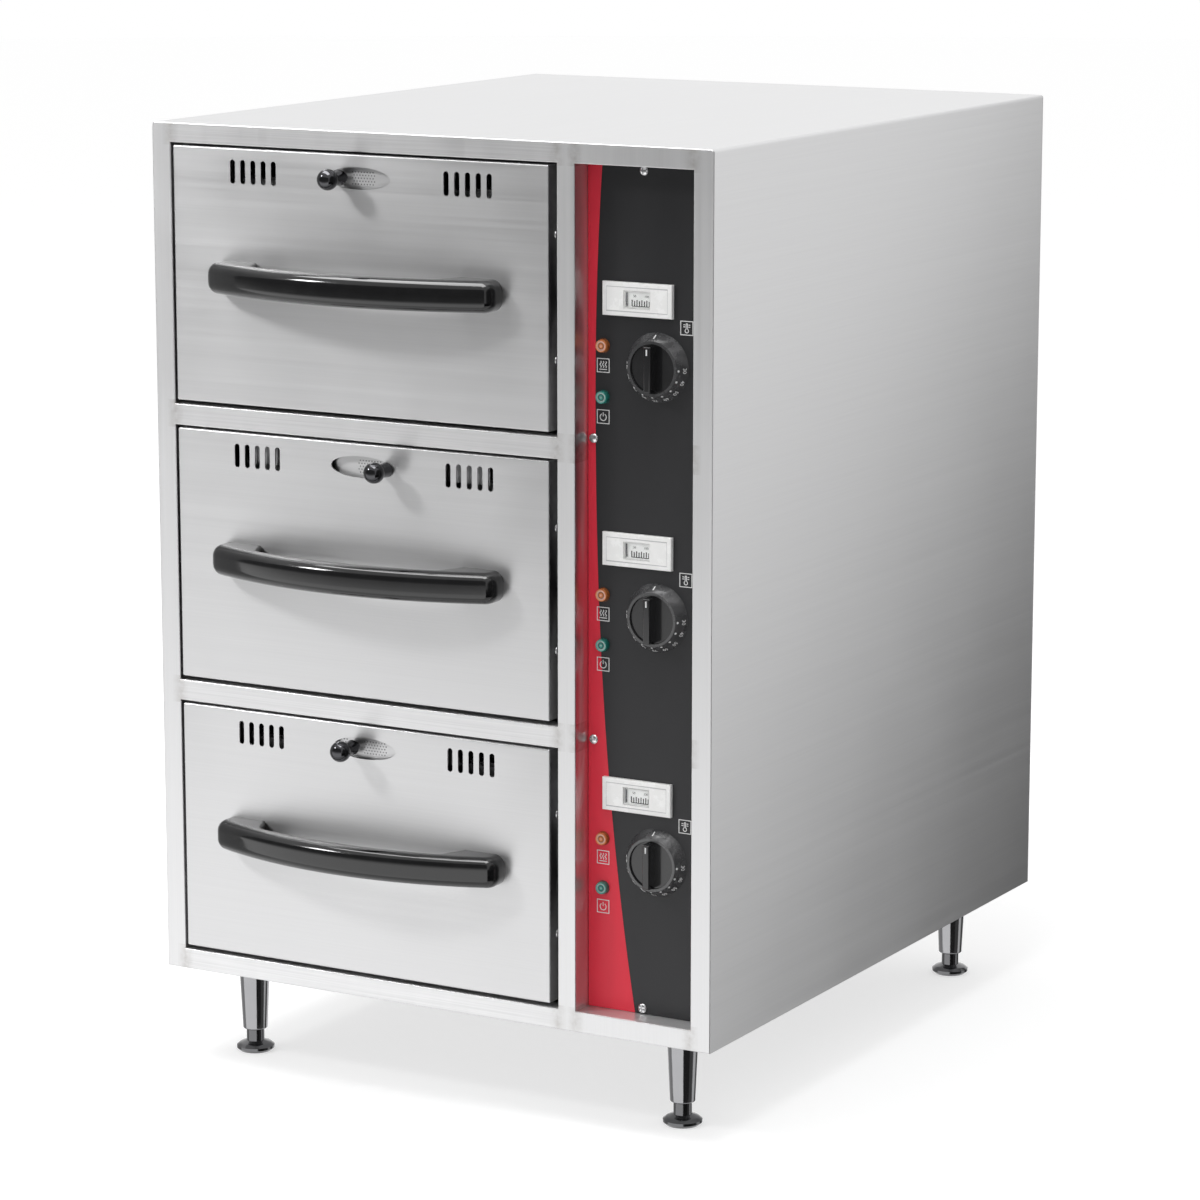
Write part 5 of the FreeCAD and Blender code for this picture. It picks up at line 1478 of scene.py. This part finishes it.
# ---------------------------------------------------------------- drawers
@dataclass
class Drawer:
    """One drawer: front, handle, vent control, pan, carrier, screws and runner balls."""

    finishes: Finishes
    name: str
    side_screw_spread: float = 52.0 * MM
    side_screw_depth: float = 14.0 * MM
    handle_screw_inset: float = 21.0 * MM
    front_sheet: float = 1.2 * MM
    runner_sheet: float = 1.2 * MM
    runner_gap: float = 0.4 * MM
    ball_track: float = 6.2 * MM
    ball_start: float = 20.0 * MM
    ball_radius: float = 1.1 * MM
    ball_pitch: float = 7.5 * MM
    balls: int = 26
    dot_radius: float = 0.65 * MM
    dot_flatness: float = 0.3
    dot_pitch: float = 2.9 * MM
    dot_start: float = 9.0 * MM
    dot_columns: int = 8
    dot_rows: int = 2
    row_share: float = 0.87
    screws: PanScrews = PanScrews(head_radius=3.6 * MM, head_height=1.6 * MM,
                                  shank_radius=2.0 * MM, shank_length=5.0 * MM)

    def dress(self) -> None:
        """Gives the drawer's nodes their finishes."""
        self.finishes.dress({
            f"pan_carrier_{self.name}": "liner_steel", f"inner_plate_{self.name}": "drawer_steel",
            f"inner_rails_{self.name}": "runner_zinc", f"middle_rails_{self.name}": "runner_zinc",
            f"vent_shutter_{self.name}": "shutter_steel",
        })
        self.finishes.smooth({
            f"drawer_front_{self.name}": "drawer_steel", f"food_pan_{self.name}": "pan_steel",
            f"handle_{self.name}": "handle_black", f"vent_knob_{self.name}": "ball_chrome",
        })

    def build(self) -> None:
        """Makes the screws, the runner balls and the shutter's stamped dots."""
        self.build_screws()
        self.build_balls()
        self.build_stipple()

    def build_screws(self) -> None:
        """Makes the side and handle screws with their cross recesses."""
        low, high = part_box(f"drawer_front_{self.name}")
        handle_low, handle_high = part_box(f"handle_{self.name}")
        middle = (low.z + high.z) / 2
        places, facings = [], []
        for side, x in ((-1, low.x), (1, high.x)):
            for level in (-1, 1):
                places.append((x, low.y + self.side_screw_depth,
                               middle + self.side_screw_spread * level))
                facings.append((side, 0, 0))
        for x in (handle_low.x + self.handle_screw_inset, handle_high.x - self.handle_screw_inset):
            places.append((x, low.y + self.front_sheet, middle))
            facings.append((0, 1, 0))
        mesh = self.screws.grow(places, facings, self.finishes["screw_steel"])
        made = piece_from(mesh, f"drawer_screws_{self.name}_crossed", f"drawer_{self.name}",
                          self.finishes["screw_steel"])
        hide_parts(f"drawer_screws_{self.name}")

    def build_balls(self) -> None:
        """Makes rows of balls between the middle and the inner runner members."""
        low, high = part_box(f"middle_rails_{self.name}")
        inset = self.runner_sheet + self.runner_gap / 2
        places = []
        for x in (low.x + self.ball_track, high.x - self.ball_track):
            for z in (low.z + inset, high.z - inset):
                places += [(x, low.y + self.ball_start + self.ball_pitch * n, z)
                           for n in range(self.balls)]
        mesh = Beads(self.ball_radius).grow(places, [(0, 0, 1)] * len(places),
                                            self.finishes["runner_balls"])
        piece_from(mesh, f"runner_balls_{self.name}", f"runner_{self.name}",
                   self.finishes["runner_balls"])

    def build_stipple(self) -> None:
        """Makes rows of stamped dots on the shutter, on both sides of the knob, in a dark tone that
        is painted shade.
        """
        low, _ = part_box(f"vent_shutter_{self.name}")
        knob = middle_of(f"vent_knob_{self.name}")
        places = []
        for row in range(-self.dot_rows, self.dot_rows + 1):
            for column in range(self.dot_columns):
                out = self.dot_start + self.dot_pitch * (column + (row % 2) / 2)
                up = knob.z + self.dot_pitch * self.row_share * row
                places += [(knob.x + side * out, low.y, up) for side in (-1, 1)]
        mesh = Beads(self.dot_radius, self.dot_flatness).grow(
            places, [(0, 1, 0)] * len(places), self.finishes["stamped_dots_painted_shade"])
        piece_from(mesh, f"vent_stipple_{self.name}", f"vent_{self.name}",
                   self.finishes["stamped_dots_painted_shade"])


# ---------------------------------------------------------------- studio
def greys(stops: Iterable[Point2]) -> list[tuple[float, Colour]]:
    """Turns stops with a brightness into stops with a grey."""
    return [(place, (level,) * 3) for place, level in stops]


@dataclass(frozen=True)
class SoftBox:
    """A rectangular lamp that the camera doesn't see."""

    name: str
    place: tuple[float, float, float]
    target: tuple[float, float, float]
    size: Point2
    power: float

    def hang(self) -> None:
        """Adds the lamp, turned towards its target."""
        data = bpy.data.lights.new(self.name, "AREA")
        data.shape = "RECTANGLE"
        data.size, data.size_y = self.size
        data.energy = self.power
        light = placed(self.name, data)
        light.location = self.place
        toward = Vector(self.target) - Vector(self.place)
        light.rotation_euler = toward.to_track_quat("-Z", "Y").to_euler()
        light.visible_camera = False


@dataclass(frozen=True)
class Card:
    """An upright shaded card that only reflections see.

    It stands on a line from start to end. Its brightness follows stops, from 0 to 1, along rise,
    which says how far the stops advance for each metre along x, y and z.
    """

    name: str
    start: Point2
    end: Point2
    low: float
    high: float
    rise: tuple[float, float, float]
    stops: tuple[tuple[float, float], ...]
    glow: float = 1.6

    def stand(self) -> None:
        """Adds the card."""
        mesh = bpy.data.meshes.new(self.name)
        corners = ((self.start, self.low), (self.end, self.low),
                   (self.end, self.high), (self.start, self.high))
        mesh.from_pydata([(*foot, up) for foot, up in corners], [], [(0, 1, 2, 3)])
        card = placed(self.name, mesh)
        s = Shader(self.name)
        along = s.node("ShaderNodeVectorMath", {0: s.object_point, 1: self.rise},
                       operation="DOT_PRODUCT").outputs["Value"]
        glow = s.node("ShaderNodeEmission", {"Color": s.ramp(along, *greys(self.stops)),
                                             "Strength": self.glow})
        s.link(glow.outputs[0], s.tree.nodes["Material Output"].inputs["Surface"])
        mesh.materials.append(s.material)
        for ray in ("camera", "diffuse", "shadow", "transmission", "volume_scatter"):
            setattr(card, f"visible_{ray}", False)


@dataclass
class Studio:
    """Floor, soft lights, reflection cards and camera."""

    lens: float = 129.70
    camera_place: tuple[float, float, float] = (1.8984, -3.3509, 1.1456)
    azimuth: float = 29.605
    tilt: float = 11.107
    floor_radius: float = 14.0
    floor_level: float = 0.55
    floor_sides: int = 96
    world_level: float = 0.65
    world_behind: float = 1.1
    world_bands: tuple[tuple[float, float], ...] = (
        (0.0, 0.50), (0.08, 0.55), (0.14, 1.0), (0.86, 1.0), (0.92, 0.14), (1.0, 0.10))
    lamps: tuple[SoftBox, ...] = (
        SoftBox("overhead", (-0.3, -0.5, 2.6), (-0.1, 0, 0.4), (2.4, 0.9), 43.0),
        SoftBox("key", (-2.6, -2.5, 3.0), (0, -0.3, 0.5), (0.55, 0.55), 34.0),
    )
    cards: tuple[Card, ...] = (
        Card("front_card", (-2.6, -1.35), (0.9, -1.35), -1.0, 1.4, (0, 0, 1.0),
             ((0.0, 0.86), (0.12, 0.72), (0.30, 0.38), (0.45, 0.17), (0.6, 0.10))),
        Card("side_card", (2.6, 0.9), (0.34, 0.9), -1.0, 1.2, (1.0, 0, 0.45),
             ((0.55, 0.05), (0.68, 0.16), (0.92, 0.47), (1.0, 0.58))),
        Card("low_card", (0.7, -2.2), (2.2, -0.5), -1.0, 0.16, (0, 0, 1.0),
             ((0.0, 0.02), (0.16, 0.05))),
    )

    def build(self) -> None:
        """Builds the whole studio."""
        bpy.context.scene.view_settings.view_transform = "Standard"
        self.build_world()
        self.build_floor()
        self.build_lights()
        self.build_cards()
        self.build_camera()

    def build_camera(self) -> None:
        """Places the camera."""
        data = bpy.data.cameras.new("camera")
        data.lens = self.lens
        data.sensor_width = 36.0
        camera = placed("camera", data)
        camera.location = self.camera_place
        camera.rotation_euler = Euler(
            (math.radians(90 - self.tilt), 0.0, math.radians(self.azimuth)), "XYZ")
        bpy.context.scene.camera = camera

    def build_world(self) -> None:
        """Makes a pale world, darker to the right and a little to the left."""
        world = bpy.data.worlds.new("studio")
        world.use_nodes = True
        bpy.context.scene.world = world
        world.node_tree.nodes.clear()
        n = Nodes(world.node_tree)
        point = n.node("ShaderNodeTexCoord").outputs["Generated"]
        across, back, _ = n.node("ShaderNodeSeparateXYZ", {0: point}).outputs
        bands = n.ramp(n.spread(across, 0.0, 1.0, -1.0, 1.0), *greys(self.world_bands))
        strength = n.spread(back, self.world_level, self.world_behind, -1.0, 1.0)
        lit = n.node("ShaderNodeBackground", {"Color": bands, "Strength": strength})
        white = n.node("ShaderNodeBackground", {"Color": (1.0, 1.0, 1.0, 1.0)})
        seen = n.node("ShaderNodeLightPath").outputs["Is Camera Ray"]
        mix = n.node("ShaderNodeMixShader", {0: seen, 1: lit.outputs[0], 2: white.outputs[0]})
        n.node("ShaderNodeOutputWorld", {"Surface": mix.outputs[0]})

    def build_floor(self) -> None:
        """Makes a pale round floor that shows white and keeps a soft shadow."""
        ring = arc((0, 0), self.floor_radius, 0, 360, self.floor_sides)[:-1]
        mesh = bpy.data.meshes.new("floor")
        mesh.from_pydata([(x, y, 0.0) for x, y in ring], [], [tuple(range(self.floor_sides))[::-1]])
        floor = placed("floor", mesh)
        material = bpy.data.materials.new("floor_paint")
        material.use_nodes = True
        material.node_tree.nodes.clear()
        n = Nodes(material.node_tree)
        paint = n.node("ShaderNodeBsdfDiffuse", {"Color": (*(self.floor_level,) * 3, 1.0)})
        rays = n.node("ShaderNodeLightPath").outputs
        seen = n.folded("MAXIMUM", (rays[f"Is {kind} Ray"]
                                    for kind in ("Camera", "Glossy", "Transmission")))
        glow = n.node("ShaderNodeEmission", {"Strength": n.maths("MULTIPLY", seen, self.floor_level)})
        both = n.node("ShaderNodeAddShader", {0: paint.outputs[0], 1: glow.outputs[0]})
        n.node("ShaderNodeOutputMaterial", {"Surface": both.outputs[0]})
        mesh.materials.append(material)
        floor.visible_glossy = False

    def build_lights(self) -> None:
        """Hangs every lamp."""
        for lamp in self.lamps:
            lamp.hang()

    def build_cards(self) -> None:
        """Stands up the cards whose shading the brushed front and side show."""
        for card in self.cards:
            card.stand()


def main() -> None:
    """Builds and dresses every sub-assembly, then the studio."""
    finishes = Finishes()
    finishes.build()
    assemblies: list[Cabinet | ControlBay | Drawer] = [Cabinet(finishes), ControlBay(finishes)]
    assemblies += [Drawer(finishes, name) for name in DRAWERS]
    for assembly in assemblies:
        assembly.dress()
        assembly.build()
        log.info("%s is dressed", type(assembly).__name__)
    for name in DRAWERS:
        Dial(finishes, name).build()
        Thermometer(finishes, name).build()
    Studio().build()


if __name__ == "__main__":
    main()
